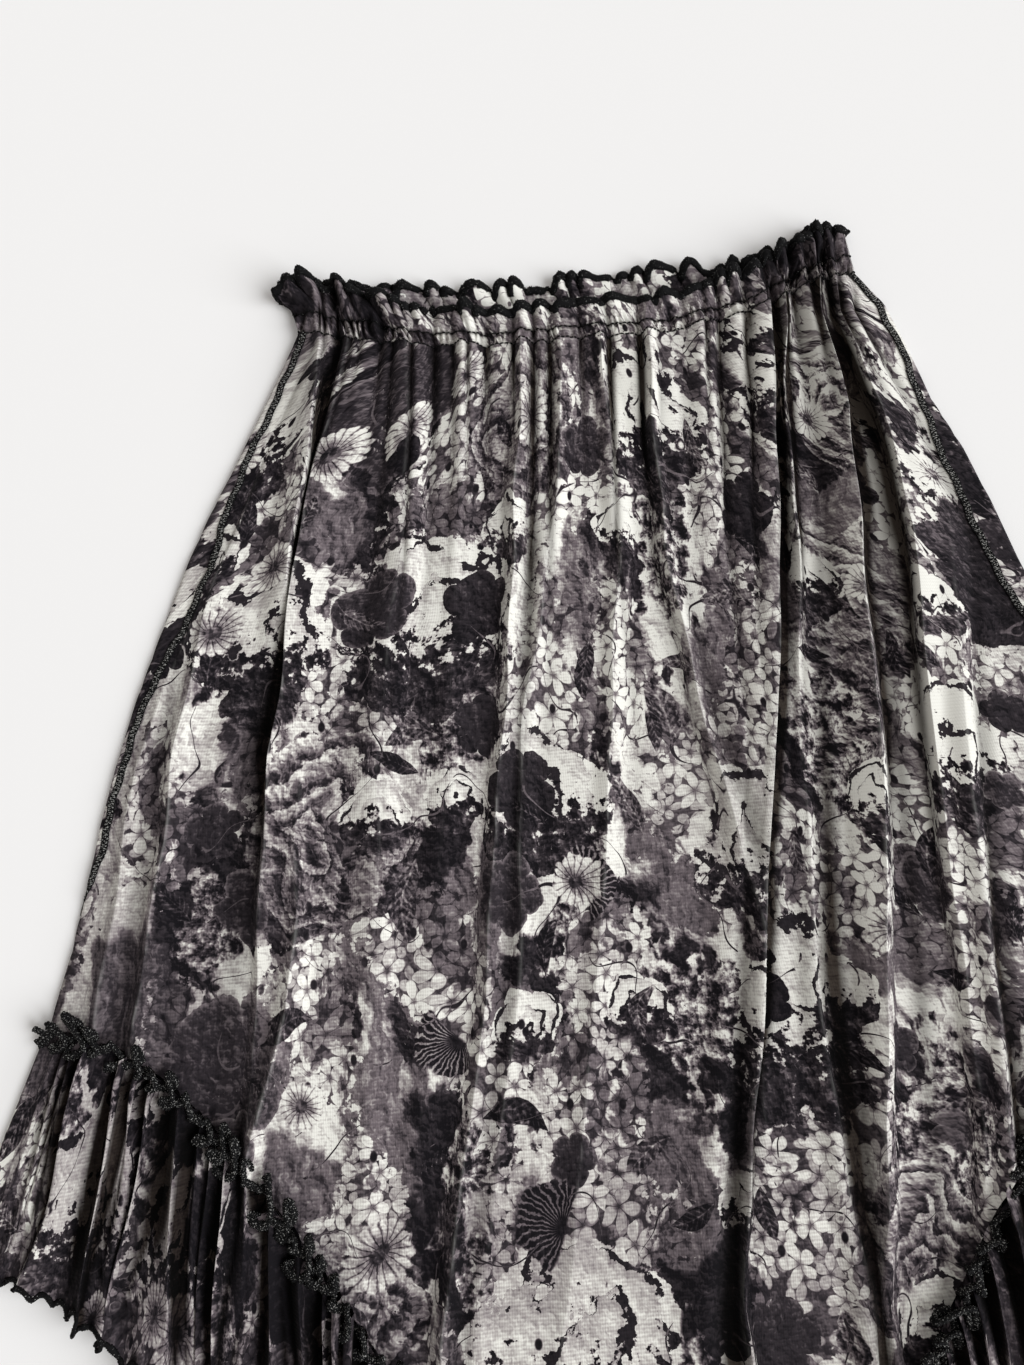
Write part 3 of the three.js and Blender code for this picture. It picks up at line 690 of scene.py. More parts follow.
def flounce_points(level):
    """A row of the flounce: level 0 at its seam, 1 at the hem."""
    top = Girth(TOP_HALF, TOP_HALF, mix(BODY_TURN, FLOUNCE_TURN, level))
    top_x, rise, upper = top.place(ring_distances(top, *FLOUNCE_COLUMNS))
    across = top.across(top_x)
    from_side = 1 - np.abs(across)
    spread = (HEM_HALF - TOP_HALF) * np.sign(across) * np.abs(across) ** 4
    hem_across = (top_x + spread) / HEM_HALF
    sideways, up = pleat_relief(across, level, upper)
    body_side, body_up, *_ = relief(top_x, seam_drop(across), smooth(from_side / 0.08))
    fade = (1 - level) ** 2 * (upper >= 1)
    wave = math.tau * hem_across * HEM_WAVES + 1.3 * waves(hem_across * 22, upper, 25)
    teeth = factor(hem_across * 31, upper, 26, 0.95, 0.5, 0.35, 1.8)
    teeth = teeth * smooth((level - LETTUCE) / (1 - LETTUCE))
    depth = mix(2.5, 3.6, smooth(np.abs(hem_across) / 0.8))
    x = top_x + spread * level + sideways + body_side * fade + 1.5 * np.sin(wave + 1.9) * teeth
    drop = mix(seam_drop(across), hem_drop(hem_across), level) + depth * np.sin(wave) * teeth
    z = REST + rise + 0.5 * body_up * fade
    z += up * mix(0.6, 1, smooth(level / 0.1)) * mix(1, 0.5, smooth((level - 0.35) / 0.65))
    z += mix(0.8, 1.8, upper) * (1 + np.sin(wave + 1.4)) * teeth * smooth(from_side / 0.02)
    return x, drop, z, upper


def flounce():
    levels = np.append(
        np.linspace(0, HEM_START, FLOUNCE_ROWS), np.linspace(HEM_START, 1, HEM_ROWS)[1:]
    )
    x, drop, z, upper = stacked(map(flounce_points, levels))
    steps = along_rows(x, z).mean(axis=0)
    uv = sheet_places(FINE_GATHERS * (steps - steps[len(steps) // 2]), drop + FLOUNCE_PRINT)
    points = to_points(x, drop, z)
    shade = -0.15 + 0.55 * hill(x, -330, 30) * smooth(levels[:, None] / 0.6)
    # Painted shade in the deep folds of the gathers, on the upper layer.
    hollow = hollow_of(x, z, slope=0.7, deepest=2.6) * upper
    return cloth_mesh("flounce_cloth", points, uv, hollow=hollow, shade=shade), points


# ---- Overlocked edges ----
UPWARD = np.array([0.0, 0.0, 1.0])
SEAM_ROWS, SEAM_LANES = 700, 9
MIDDLE_LANE = SEAM_LANES // 2
SEAM_BAND = 3.4  # the width of a side seam's overlock stitching
SEAM_THICK, SEAM_LIFT = 0.45, 0.15  # how far its middle and its edges stand off the cloth
LADDER_PITCH, LADDER_STEP, LADDER_HARDNESS = 2.1, 0.22, 1.6
LADDER_RADIUS, EDGE_RADIUS = 0.3, 0.36  # of a seam's crossing thread and the two along its sides
THREAD_SIDES = 5
BAND_STEP, BAND_OVERHANG = 0.5, 0.6  # along a band of thread, and out beyond the cloth's edge
RIB_RELIEF, RIB_LOOSENESS, RIB_SLANT = 0.15, 0.10, 1.6  # of the threads round a band
FRILL_PITCH = 11.4  # of the ruffled allowance's loops
FRILL_ROWS, FRILL_COLUMNS = 6, 3200
FRILL_OVERHANG = 3  # how far the allowance's ends reach past the flounce's seam
FRILL_PRINT_DEPTH = 9  # how deep a strip of the print shows on the allowance
STITCH_LENGTH, STITCH_GAP, STITCH_RADIUS = 2.6, 0.5, 0.5
STITCH_STEP, STITCH_PARTS, STITCH_SIDES = 0.25, 7, 6


def unit(v):
    return v / np.maximum(np.linalg.norm(v, axis=-1, keepdims=True), 1e-9)


def tangent_of(path):
    return unit(np.gradient(path, axis=0))


def resample(path, step, *others):
    """How far along a path its even steps lie, the path at those steps, and what goes with it."""
    lengths = np.linalg.norm(np.diff(path, axis=0), axis=1)
    along = np.append(0, np.cumsum(lengths))
    even = np.linspace(0, along[-1], max(int(along[-1] / step), 8))
    spread = [
        np.stack([np.interp(even, along, column) for column in values.T], axis=1)
        for values in (path, *others)
    ]
    return even, *spread


def squared(phase):
    """A wave with flattened tops and troughs."""
    return np.tanh(LADDER_HARDNESS * np.sin(phase)) / math.tanh(LADDER_HARDNESS)


def thread(path, radius):
    """The points of a round thread along a path."""
    tangent = tangent_of(path)
    side = unit(np.cross(tangent, np.array([0.02, 0.01, 1.0])))
    up = np.cross(side, tangent)
    turns = np.linspace(0, math.tau, THREAD_SIDES, endpoint=False)
    return np.array([path + radius * (side * math.cos(a) + up * math.sin(a)) for a in turns]), True


def edge_band(name, path, outward, width, thick, sides=8, rib=1.15):
    """A band of overlock thread wrapped over an edge: an oval tube along the path, "width" across
    towards the inside of the cloth, with its threads as ribs that run round it at a slant."""
    even, path, outward = resample(path, BAND_STEP, outward)
    tangent = tangent_of(path)
    outward = unit(outward - tangent * np.sum(outward * tangent, axis=1, keepdims=True))
    normal = np.cross(tangent, outward)
    rng = np.random.RandomState(len(name))
    loose = 1 + RIB_LOOSENESS * rng.normal(size=len(even) // 4 + 2).repeat(4)[: len(even)]
    rows = []
    for angle in np.linspace(0, math.tau, sides, endpoint=False):
        ribs = 1 + RIB_RELIEF * np.sin(math.tau * even / rib + RIB_SLANT * math.sin(angle))
        reach = (width / 2 * math.cos(angle) * ribs * loose)[:, None]
        lift = (thick / 2 * math.sin(angle) * ribs)[:, None]
        rows.append(path + outward * (reach - width / 2 + BAND_OVERHANG) + normal * lift)
    return joined_tubes(name, (np.array(rows), True))


def rim_band(name, points, width, thick, sides):
    """The band over the last row of a sheet of points."""
    return edge_band(name, points[-1], unit(points[-1] - points[-3]), width, thick, sides)


def side_seam(name, is_left):
    """The overlocked edge of a side seam: a narrow band with a thread along each side, and a
    thread that crosses it like the rungs of a ladder."""
    steps = np.linspace(-1, 1, SEAM_LANES)
    rows = []
    for down in np.linspace(0, 1, SEAM_ROWS):
        girth, seam_left, seam_right = side_at(down)
        seam = seam_left if is_left else girth.half - seam_right
        wobble = 0.5 * math.sin(down * 61) + 0.35 * math.sin(down * 143)
        x, rise, upper = girth.place(seam + wobble + steps * SEAM_BAND / 2)
        drop = panel_drop(girth.across(x), upper, down)
        _, up, *_ = relief(x, drop, girth.free(x, upper))
        swell = (SEAM_THICK * (1 - steps ** 2) ** 0.5 + SEAM_LIFT) * np.sign(upper - 0.3)
        rows.append((x, drop, REST + rise + up + swell))
    x, drop, z = stacked(rows)
    band = to_points(x, drop, z)
    outer = 0.4 * np.sign(z[:, MIDDLE_LANE] - REST - 1)[:, None] * UPWARD
    even, _ = resample(band[:, MIDDLE_LANE], LADDER_STEP)
    row = np.round(np.linspace(0, SEAM_ROWS - 1, len(even))).astype(int)

    def at(step):
        place = np.clip((step + 1) / 2 * (SEAM_LANES - 1), 0, SEAM_LANES - 1)
        base = np.floor(np.minimum(place, SEAM_LANES - 1.001)).astype(int)
        return mix(band[row, base], band[row, base + 1], (place - base)[:, None]) + outer[row]

    ladder = math.tau * even / LADDER_PITCH
    rungs = thread(at(squared(ladder) * 0.98), LADDER_RADIUS)
    edges = [thread(at(edge + 0.08 * np.sin(ladder))[::2], EDGE_RADIUS) for edge in (-0.95, 0.95)]
    parts = [(band.transpose(1, 0, 2), False), rungs, *edges]
    piece = joined_tubes(name, *parts)
    # More painted glints on the crossing thread.
    painted_glint = [np.full(part[0].size // 3, float(part is rungs)) for part in parts]
    add_attribute(piece.data, "painted_glint", np.concatenate(painted_glint)[:, None])
    return piece


def seam_frill(front):
    """The ruffled seam allowance of the flounce: a strip of cloth that stands along the seam and
    falls to either side in loops, and the overlocked chain along its free edge."""
    across = np.linspace(-1, 1, FRILL_COLUMNS)
    x = across * (TOP_HALF + FRILL_OVERHANG)
    inside = np.clip(x / TOP_HALF, -1, 1)
    seam = seam_drop(inside)
    flat = np.zeros_like(x)
    along = np.append(0, np.cumsum(np.hypot(np.diff(x), np.diff(seam))))
    tangent = unit(np.stack([flat + 1, -np.gradient(seam, x), flat], 1))
    downward = np.stack([tangent[:, 1], -tangent[:, 0], flat], 1)
    phase = math.tau * along / FRILL_PITCH + 2.4 * waves(along / 25, flat + front, 31)
    swing = factor(along / 14, flat + front, 32, 0.95, 0.5, 0.35)
    base = to_points(x, seam, flat + 0.5)
    if front:
        label, width, thick, bulge = "front", 4.5, 3.0, 1.2
        _, body_up, *_ = relief(x, seam, smooth((1 - np.abs(inside)) / 0.08))
        _, pleats_up = pleat_relief(inside, 0.0, flat + 1)
        lift = 2 * BODY_TURN + np.maximum(0.6 * body_up, 0.5 * pleats_up) + 0.6
        base[:, 2] += lift * smooth((1 - np.abs(across)) / 0.03)
        edge = base + downward * (1.2 + 7.4 * swing * np.sin(phase))[:, None]
        edge += tangent * (4.6 * swing * np.sin(2 * phase + 0.9))[:, None]
        edge[:, 2] += 5.4 * (0.75 + 0.45 * swing * np.cos(phase + 0.6))
    else:
        label, width, thick, bulge = "back", 3.5, 2.5, 0.0
        edge = base + downward * (8.0 + 3.0 * swing * np.sin(phase))[:, None]
        edge[:, 2] = 1.2
    shares = np.linspace(0, 1, FRILL_ROWS)
    strip = np.array([
        mix(base, edge, share) + bulge * math.sin(math.pi * share) * UPWARD for share in shares
    ])
    uv = sheet_places(FINE_GATHERS * along, FRILL_PRINT + shares[:, None] * FRILL_PRINT_DEPTH)
    shade = np.full(strip.shape[:2], -0.25)
    cloth = cloth_mesh(f"{label}_seam_allowance", strip, uv, shade=shade)
    outward = unit(edge - strip[FRILL_ROWS // 2])
    chain = edge_band(f"{label}_chain", edge, outward, width, thick, rib=1.6)
    # Pale painted glints all along the chain.
    add_attribute(chain.data, "painted_glint", np.full((len(chain.data.vertices), 1), 0.4))
    return cloth, chain


def stitch_line(name, path):
    """A line of separate stitches along a path just above the cloth."""
    even, path = resample(path, STITCH_STEP)
    length = STITCH_LENGTH / STITCH_STEP
    pitch = int((STITCH_LENGTH + STITCH_GAP) / STITCH_STEP)
    starts = np.arange(0, len(even) - int(length) - 1, pitch)
    picks = starts[:, None] + np.round(np.linspace(0, length, STITCH_PARTS)).astype(int)
    tangent = tangent_of(path)
    across = unit(np.cross(tangent, UPWARD))
    up = np.cross(across, tangent)
    rounded_end = np.sin(math.pi * np.arange(STITCH_PARTS) / (STITCH_PARTS - 1))
    swell = STITCH_RADIUS * np.clip(rounded_end, 0.05, 1) ** 0.5
    points = np.stack([
        path[picks] + swell[:, None] * (across[picks] * math.cos(a) + up[picks] * math.sin(a))
        for a in np.linspace(0, math.tau, STITCH_SIDES, endpoint=False)
    ], axis=1)
    return joined_tubes(name, *[(stitch, True) for stitch in points])


# ---- Node arithmetic ----
def arithmetic(operation, swapped=False):
    def method(self, other):
        return maths(operation, other, self) if swapped else maths(operation, self, other)

    return method


class Value:
    """A number or vector in a node tree, for use in plain arithmetic."""

    __add__ = __radd__ = arithmetic("ADD")
    __sub__ = arithmetic("SUBTRACT")
    __rsub__ = arithmetic("SUBTRACT", swapped=True)
    __mul__ = arithmetic("MULTIPLY")
    __truediv__ = arithmetic("DIVIDE")

    def __init__(self, tree, socket):
        self.tree, self.socket = tree, socket


def plug(tree, value, socket):
    if isinstance(value, Value):
        tree.links.new(value.socket, socket)
    else:
        socket.default_value = value


def node(tree, kind, inputs=(), output=0, **settings):
    made = tree.nodes.new(kind)
    for name, value in settings.items():
        setattr(made, name, value)
    for key, value in dict(inputs).items():
        plug(tree, value, made.inputs[key])
    return Value(tree, made.outputs[output])


def maths(operation, *values):
    tree = next(v.tree for v in values if isinstance(v, Value))
    return node(tree, "ShaderNodeMath", dict(enumerate(values)), operation=operation)


def ramp(value, low, high, out_low=0.0, out_high=1.0):
    """Turns low..high into out_low..out_high smoothly, and holds it beyond them."""
    inputs = {0: value, 1: low, 2: high, 3: out_low, 4: out_high}
    return node(value.tree, "ShaderNodeMapRange", inputs, interpolation_type="SMOOTHSTEP")


def blend(low, high, share):
    return node(share.tree, "ShaderNodeMix", {0: share, 2: low, 3: high}, data_type="FLOAT")


def colour_blend(low, high, share, way="MIX"):
    inputs = {"Factor": share, 6: low, 7: high}
    return node(share.tree, "ShaderNodeMix", inputs, 2, data_type="RGBA", blend_type=way)


def mark(tree, name):
    """A number that the mesh holds for each of its points."""
    return node(tree, "ShaderNodeAttribute", output=2, attribute_name=name)


def vector(tree, x, y):
    return node(tree, "ShaderNodeCombineXYZ", {0: x, 1: y})


def outputs(value, *keys):
    """Other outputs of the node that a value comes from."""
    return [Value(value.tree, value.socket.node.outputs[key]) for key in keys]


def axes(value):
    return outputs(node(value.tree, "ShaderNodeSeparateXYZ", {0: value}), 0, 1, 2)


def noise(place, size, detail, rough, shift):
    """Cloudy noise from 0 to 1 with features about "size" across."""
    x, y = place
    tree = x.tree
    across, down = size if isinstance(size, tuple) else (size, size)
    at = vector(tree, x / across + shift, y / down + shift)
    inputs = {"Vector": at, "Scale": 1.0, "Detail": detail, "Roughness": rough}
    return node(tree, "ShaderNodeTexNoise", inputs, noise_dimensions="2D")


def cells(place, size, shift, scatter):
    """Scattered cells about "size" across: the place within the nearest one, from its middle,
    and two random numbers that belong to it."""
    x, y = place
    tree = x.tree
    at_x, at_y = x / size + shift, y / size + shift * 0.7
    inputs = {"Scale": 1.0, "Randomness": scatter, "Vector": vector(tree, at_x, at_y)}
    cell = node(tree, "ShaderNodeTexVoronoi", inputs, voronoi_dimensions="2D")
    position, colour = outputs(cell, "Position", "Color")
    middle_x, middle_y, _ = axes(position)
    first, second, _ = axes(colour)
    return ((at_x - middle_x) * size, (at_y - middle_y) * size), first, second


def polar(x, y):
    """The distance from the middle, and the angle round it."""
    return maths("SQRT", maths("MULTIPLY_ADD", x, x, y * y)), maths("ARCTAN2", y, x)


def lobes(angle, count):
    """Rises and falls from 0 to 1 "count" times in a turn."""
    return maths("ABSOLUTE", maths("COSINE", angle * (count / 2)))


# ---- The print ----
class Brush:
    """The textures that the whole print shares: grain, brush marks, sways and thick and thin."""

    def __init__(self, place):
        x, y = place
        self.grain = noise(place, 7.5, 3.0, 0.62, 1.0)
        self.rough = noise(place, 2.6, 1.0, 0.6, 5.0)
        self.sway = noise(place, 38.0, 1.0, 0.5, 2.0)
        self.swirl = noise(place, 38.0, 1.0, 0.5, 29.0)
        self.thick = ramp(noise(place, 24.0, 1.0, 0.5, 57.0), 0.42, 0.62, 0.0, 0.13)
        ragged = (self.grain - 0.5) * 7.0
        wide = x + (self.sway - 0.5) * 14.0 + ragged
        tall = y + (self.swirl - 0.5) * 12.0 + (self.rough - 0.5) * 3.0
        self.warped = (wide, tall)
        here = noise(self.warped, 12.0, 3.0, 0.62, 41.0)
        beside = noise((wide + 0.9, tall - 0.9), 12.0, 3.0, 0.62, 41.0)
        self.lit = here - beside


class Flower:
    """The flower that a point of cloth lies on: the place within it in its own radii, how sure
    it is that the point lies on no other, its kind, a random number, and how far above its
    middle the point is."""

    def __init__(self, tree, number, brush):
        local = node(tree, "ShaderNodeAttribute", output=1, attribute_name=f"flower_{number}")
        nature = node(tree, "ShaderNodeAttribute", output=1, attribute_name=f"nature_{number}")
        x, y, self.sure = axes(local)
        self.kind, self.own, self.above = axes(nature)
        self.brush = brush
        self.torn = (brush.grain - 0.5) * 0.22
        self.x = x + (brush.sway - 0.5) * 0.6
        self.y = y + (brush.swirl - 0.5) * 0.6
        self.radius, self.angle = polar(self.x, self.y)

    def lay(self, tone, low, high, shape, face):
        """The print with this flower on it where its kind lies between two numbers."""
        chosen = maths("COMPARE", self.kind, (low + high) / 2, (high - low) / 2)
        return blend(tone, face, shape * chosen * self.sure)

    def rings(self, pace, bend):
        """How far across its ring of petals a point lies, from 0 to 1."""
        wander = (self.brush.grain - 0.5) * 0.7 + (self.brush.swirl - 0.5) * 1.2
        out = self.radius * pace + wander
        ring = maths("FLOOR", out + bend * 0.5)
        petals = lobes(self.angle + self.own * 6.0 + ring * 2.4, 5) * ramp(self.radius, 0.1, 0.4)
        return maths("FRACT", out + petals * bend)

    def peony(self):
        """A big pale head of torn petals, drawn with thick and thin dark strokes, whose lower
        side is lost in ragged shadow."""
        edge = rounded(self.angle + self.own * 6.0, 7) * 0.17 + 0.8 + self.torn - self.radius
        across = self.rings(2.3, 0.28)
        ink = ramp(maths("ABSOLUTE", across - 0.5) + self.brush.thick, 0.49, 0.51)
        face = 0.98 - ramp(across, 0.25, 1.0, 0.0, 0.16) + self.brush.lit * 1.2
        face = blend(face, 0.12, ink)
        ragged = self.above + (self.brush.grain - 0.5) * 1.8
        shadow = self.brush.grain * 0.9 - 0.3 + self.brush.lit * 2.0
        return ramp(edge, 0.0, 0.02), blend(face, shadow, ramp(ragged, -0.1, -0.24))

    def rose(self):
        """A full head of soft grey petals, ring within ring."""
        across = self.rings(3.4, 0.6)
        face = ramp(across, 0.0, 0.85, 0.2, 0.72) - ramp(across, 0.9, 1.0, 0.0, 0.45)
        face = face * (self.above * 0.35 + 0.9) + self.brush.lit * 2.5
        edge = rounded(self.angle, 5) * 0.14 + 0.82 + self.torn * 0.6 - self.radius
        return ramp(edge, 0.0, 0.03), face

    def dark_bloom(self):
        """Broad dark petals, almost a silhouette, with paler edges on some."""
        edge = rounded(self.angle + self.own * 6.0, 5) * 0.27 + 0.64 + self.torn * 0.7 - self.radius
        face = self.own * 0.26 + 0.03 + self.above * 0.06 + self.brush.lit * 1.3
        rim = ramp(edge, 0.0, 0.16, 0.22, 0.0) * ramp(self.own + self.torn, 0.4, 0.6)
        return ramp(edge, 0.0, 0.02), face + rim

    def leaf(self):
        """A pointed leaf with a midrib and faint veins."""
        bend = self.y + self.x * self.x * (self.own - 0.5) * 0.9
        off = maths("ABSOLUTE", bend)
        shape = ramp((1.0 - self.x * self.x) * 0.34 + self.torn * 0.3 - off, 0.0, 0.03)
        veins = maths("SINE", (self.x * 1.4 - off * 1.6) * 19.0)
        face = ramp(veins, 0.0, 1.0, 0.04, 0.2) + ramp(off, 0.0, 0.04, 0.2, 0.0)
        return shape, face + self.brush.lit * 2.5 + ramp(self.own, 0.6, 0.65, 0.0, 0.2)

    def aster(self):
        """Many narrow petals round a soft dark disc."""
        rays = lobes(self.angle + self.torn, 19)
        shape = ramp(rays * 0.1 + 0.82 + self.torn * 1.6 - self.radius, 0.0, 0.08)
        pale = ramp(rays, 0.05, 0.6, 0.5, 0.9) - ramp(self.radius, 0.7, 0.3, 0.0, 0.35)
        face = blend(self.brush.grain * 0.5, pale, ramp(self.radius + self.torn, 0.2, 0.28))
        return shape, face + self.brush.lit * 2.0

    def fan(self):
        """Fine pale veins that spread over black."""
        rays = lobes(self.angle + self.torn * 1.5, 33)
        veins = ramp(rays, 0.72, 1.0, 0.0, 0.5) * ramp(self.radius, 0.1, 0.35)
        shape = ramp(0.92 + self.torn - self.radius, 0.0, 0.04) * ramp(self.x, -0.1, 0.0)
        return shape, veins + self.brush.lit + 0.04


def rounded(angle, count):
    """Round lobes from 0 to 1 with sharp clefts between them."""
    return maths("POWER", lobes(angle, count), 0.55)


def ground_tone(brush):
    """The ground between the flowers: torn pale and dark patches, smoky and brushed grey ones,
    and thickets of fine leaves."""
    broad = noise(brush.warped, (96.0, 165.0), 1.0, 0.5, 3.0)
    clouds = noise(brush.warped, (32.0, 50.0), 4.0, 0.6, 7.0)
    level = broad * 0.5 + clouds * 0.62
    torn = ramp(level, 0.532, 0.572)
    soft = ramp(level, 0.45, 0.66)
    patches = noise(brush.warped, (58.0, 105.0), 2.0, 0.5, 13.0)
    washes = ramp(noise(brush.warped, (20.0, 34.0), 3.0, 0.6, 83.0), 0.47, 0.6, 1.0, 0.78)
    tone = blend(torn, soft, ramp(patches, 0.46, 0.52)) * washes * 0.9 + 0.06 + brush.lit * 1.6
    brushed = noise(brush.warped, (3.4, 15.0), 3.0, 0.6, 19.0)
    mauve = 0.4 + (brushed - 0.5) * 0.6 + brush.lit
    tone = blend(tone, mauve, ramp(patches, 0.56, 0.59))
    thicket = 0.46 + (brush.grain - 0.5) * 2.8 + brush.lit * 3.0
    return blend(tone, thicket, ramp(patches, 0.39, 0.37)), broad, clouds


def blossom_layer(place, size, shift):
    """Scattered blossoms of five round petals: where they are, and their tone."""
    (x, y), turn, second = cells(place, size, shift, 0.75)
    radius, angle = polar(x, y)
    petals = maths("POWER", lobes(angle + turn * math.tau, 5), 0.8)
    edge = petals * (size * 0.42) + (second * 0.08 + 0.13) * size - radius
    face = ramp(radius, 0.3, 3.4, 0.45, 0.95) - ramp(edge, 0.0, 0.9, 0.34, 0.0)
    face = face - ramp(petals, 0.15, 0.45, 0.3, 0.0) - ramp(second, 0.6, 0.9, 0.0, 0.16)
    return ramp(edge, -0.15, 0.15), face


def blossoms(tone, brush, where, dim):
    """Packed blossoms, one layer showing between those of another."""
    x, y = brush.warped
    place = (x - (brush.grain - 0.5) * 6.5, y - (brush.rough - 0.5) * 2.5)
    low_shape, low_face = blossom_layer(place, 14.5, 3.1)
    top_shape, top_face = blossom_layer(place, 17.5, 8.3)
    packed = blend(blend(0.3, low_face * 0.8, low_shape), top_face, top_shape)
    packed = packed * blend(1.0, 0.5, dim) + brush.lit
    return blend(tone, packed, where)


def print_tone(tree, place):
    """The whole print as one tone, from 0 for charcoal to 1 for off-white."""
    brush = Brush(place)
    tone, broad, clouds = ground_tone(brush)
    big, middling, small = (Flower(tree, number, brush) for number in (1, 2, 3))
    fields = noise(brush.warped, (70.0, 125.0), 1.0, 0.5, 11.0)
    where = ramp(fields + (brush.grain - 0.5) * 0.25, 0.485, 0.5)
    tone = blossoms(tone, brush, where, ramp(clouds, 0.44, 0.48, 1.0, 0.0))
    tone = big.lay(tone, 0.0, 0.36, *big.peony())
    tone = big.lay(tone, 0.36, 0.52, *big.rose())
    tone = big.lay(tone, 0.52, 0.74, *big.dark_bloom())
    tone = middling.lay(tone, 0.0, 0.03, *middling.aster())
    tone = middling.lay(tone, 0.06, 0.16, *middling.leaf())
    tone = middling.lay(tone, 0.16, 0.31, *middling.dark_bloom())
    tone = middling.lay(tone, 0.31, 0.33, *middling.fan())
    tone = middling.lay(tone, 0.33, 0.44, *middling.peony())
    line = maths("ABSOLUTE", noise(place, 55.0, 1.5, 0.4, 9.0) - 0.5) - brush.thick * 0.03
    stems = ramp(line, 0.0, 0.004, 1.0, 0.0) * ramp(clouds, 0.48, 0.52)
    tone = blend(tone, ramp(tone, 0.35, 0.5, 0.42, 0.1), stems)
    tone = small.lay(tone, 0.0, 0.09, *small.leaf())
    tone = small.lay(tone, 0.09, 0.13, *small.aster())
    tone = small.lay(tone, 0.15, 0.2, *small.dark_bloom())
    (dot_x, dot_y), turn, _ = cells(place, 30.0, 61.0, 1.0)
    dots = ramp(polar(dot_x, dot_y * 0.7)[0], 1.3, 2.3, 1.0, 0.0) * ramp(fields, 0.46, 0.5)
    tone = blend(tone, 0.03, dots * ramp(turn, 0.49, 0.51))
    shade = mark(tree, "shade")
    smoke = ramp(broad, 0.56, 0.66, 0.0, 0.3)
    tone = blend(tone, tone * 0.5 + 0.2, smoke) * (shade * 1.5 + 1.0) + shade * 0.3
    return tone + (brush.rough - 0.5) * 0.2


# The print's colour at each tone.
TONES = (
    (0.0, (0.0075, 0.0066, 0.0085)),
    (0.25, (0.034, 0.0285, 0.0335)),
    (0.5, (0.165, 0.139, 0.152)),
    (0.75, (0.440, 0.415, 0.405)),
    (1.0, (0.790, 0.790, 0.745)),
)
MM_IN_METRE = 1000.0
ROW_PITCH, LOOP_PITCH = 1.77, 1.25
VALLEY_PAINTED_SHADE = (0.055, 0.045, 0.04, 1)  # painted shade: what deep folds leave of the cloth's colour
CREST_HIGHLIGHT_COLOUR = (0.60, 0.60, 0.585, 1)  # painted highlight along sharp crests, partly mesh stretched paler over them
# The thread's colour, and the pale painted glint on it.
THREAD, THREAD_GLINT = (0.0035, 0.0035, 0.004, 1), (0.30, 0.30, 0.29, 1)


def new_material(name, roughness, specular=0.5):
    """A material, its node tree and its shader."""
    material = bpy.data.materials.new(name)
    material.use_nodes = True
    shader = material.node_tree.nodes["Principled BSDF"]
    shader.inputs["Roughness"].default_value = roughness
    shader.inputs["Specular IOR Level"].default_value = specular
    return material, material.node_tree, shader


def add_bump(shader, height, strength, distance):
    inputs = {"Strength": strength, "Distance": distance, "Height": height}
    plug(height.tree, node(height.tree, "ShaderNodeBump", inputs), shader.inputs["Normal"])


def cloth_material(name):
    """Printed mesh jersey."""
    material, tree, shader = new_material(name, roughness=0.85, specular=0.05)
    u, v, _ = axes(node(tree, "ShaderNodeUVMap", uv_map="cloth"))
    place = (u * MM_IN_METRE, v * MM_IN_METRE)
    tone = print_tone(tree, place)
    rows, loops = (
        ramp(maths("SINE", along * (MM_IN_METRE * math.tau / pitch)), -0.9, 0.9)
        for along, pitch in ((v, ROW_PITCH), (u, LOOP_PITCH))
    )
    knit = rows * 0.7 + loops * 0.3
    printed = node(tree, "ShaderNodeValToRGB", {0: tone * (knit * 0.12 + 0.9)})
    stops = printed.socket.node.color_ramp.elements
    while len(stops) < len(TONES):
        stops.new(0.5)
    for stop, (position, colour) in zip(stops, TONES):
        stop.position, stop.color = position, (*colour, 1)
    # Painted highlight along the folds' crests, broken up by noise.
    broken = ramp(noise(place, (5.0, 16.0), 2.0, 0.6, 71.0), 0.4, 0.62, 0.02, 0.25)
    printed = colour_blend(printed, CREST_HIGHLIGHT_COLOUR, mark(tree, "painted_crest_highlight") * broken)
    # Painted shade multiplied into the folds' hollows and grooves.
    printed = colour_blend(printed, VALLEY_PAINTED_SHADE, mark(tree, "hollow"), "MULTIPLY")
    plug(tree, printed, shader.inputs["Base Color"])
    shader.inputs["Sheen Weight"].default_value = 0.02
    shader.inputs["Sheen Roughness"].default_value = 0.5
    add_bump(shader, knit, strength=0.35, distance=0.0003)
    return material


def thread_material(name):
    """Black textured overlock thread, with pale flecks painted on as glints where its stitches
    catch the light.
    """
    material, tree, shader = new_material(name, roughness=0.8, specular=0.12)
    place = node(tree, "ShaderNodeTexCoord", output=3)
    inputs = {"Vector": place, "Scale": 1300.0, "Detail": 2.0, "Roughness": 0.6}
    fine = node(tree, "ShaderNodeTexNoise", inputs)
    glints = ramp(fine + mark(tree, "painted_glint") * 0.17, 0.65, 0.75)
    plug(tree, colour_blend(THREAD, THREAD_GLINT, glints), shader.inputs["Base Color"])
    add_bump(shader, fine, strength=0.8, distance=0.0004)
    return material


# ---- The scene ----
def add_piece(piece, material, slot, *nodes):
    piece.data.materials.append(material)
    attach(piece, "root")
    if nodes:
        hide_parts(*nodes)
    return piece


# Each sheet's cut when its gathers and folds are let out, in metres: width, length and area.
FRONT_ALLOWANCE_CUT = (1.32, 0.012, 0.0150)
BACK_ALLOWANCE_CUT = (0.92, 0.0105, 0.0090)


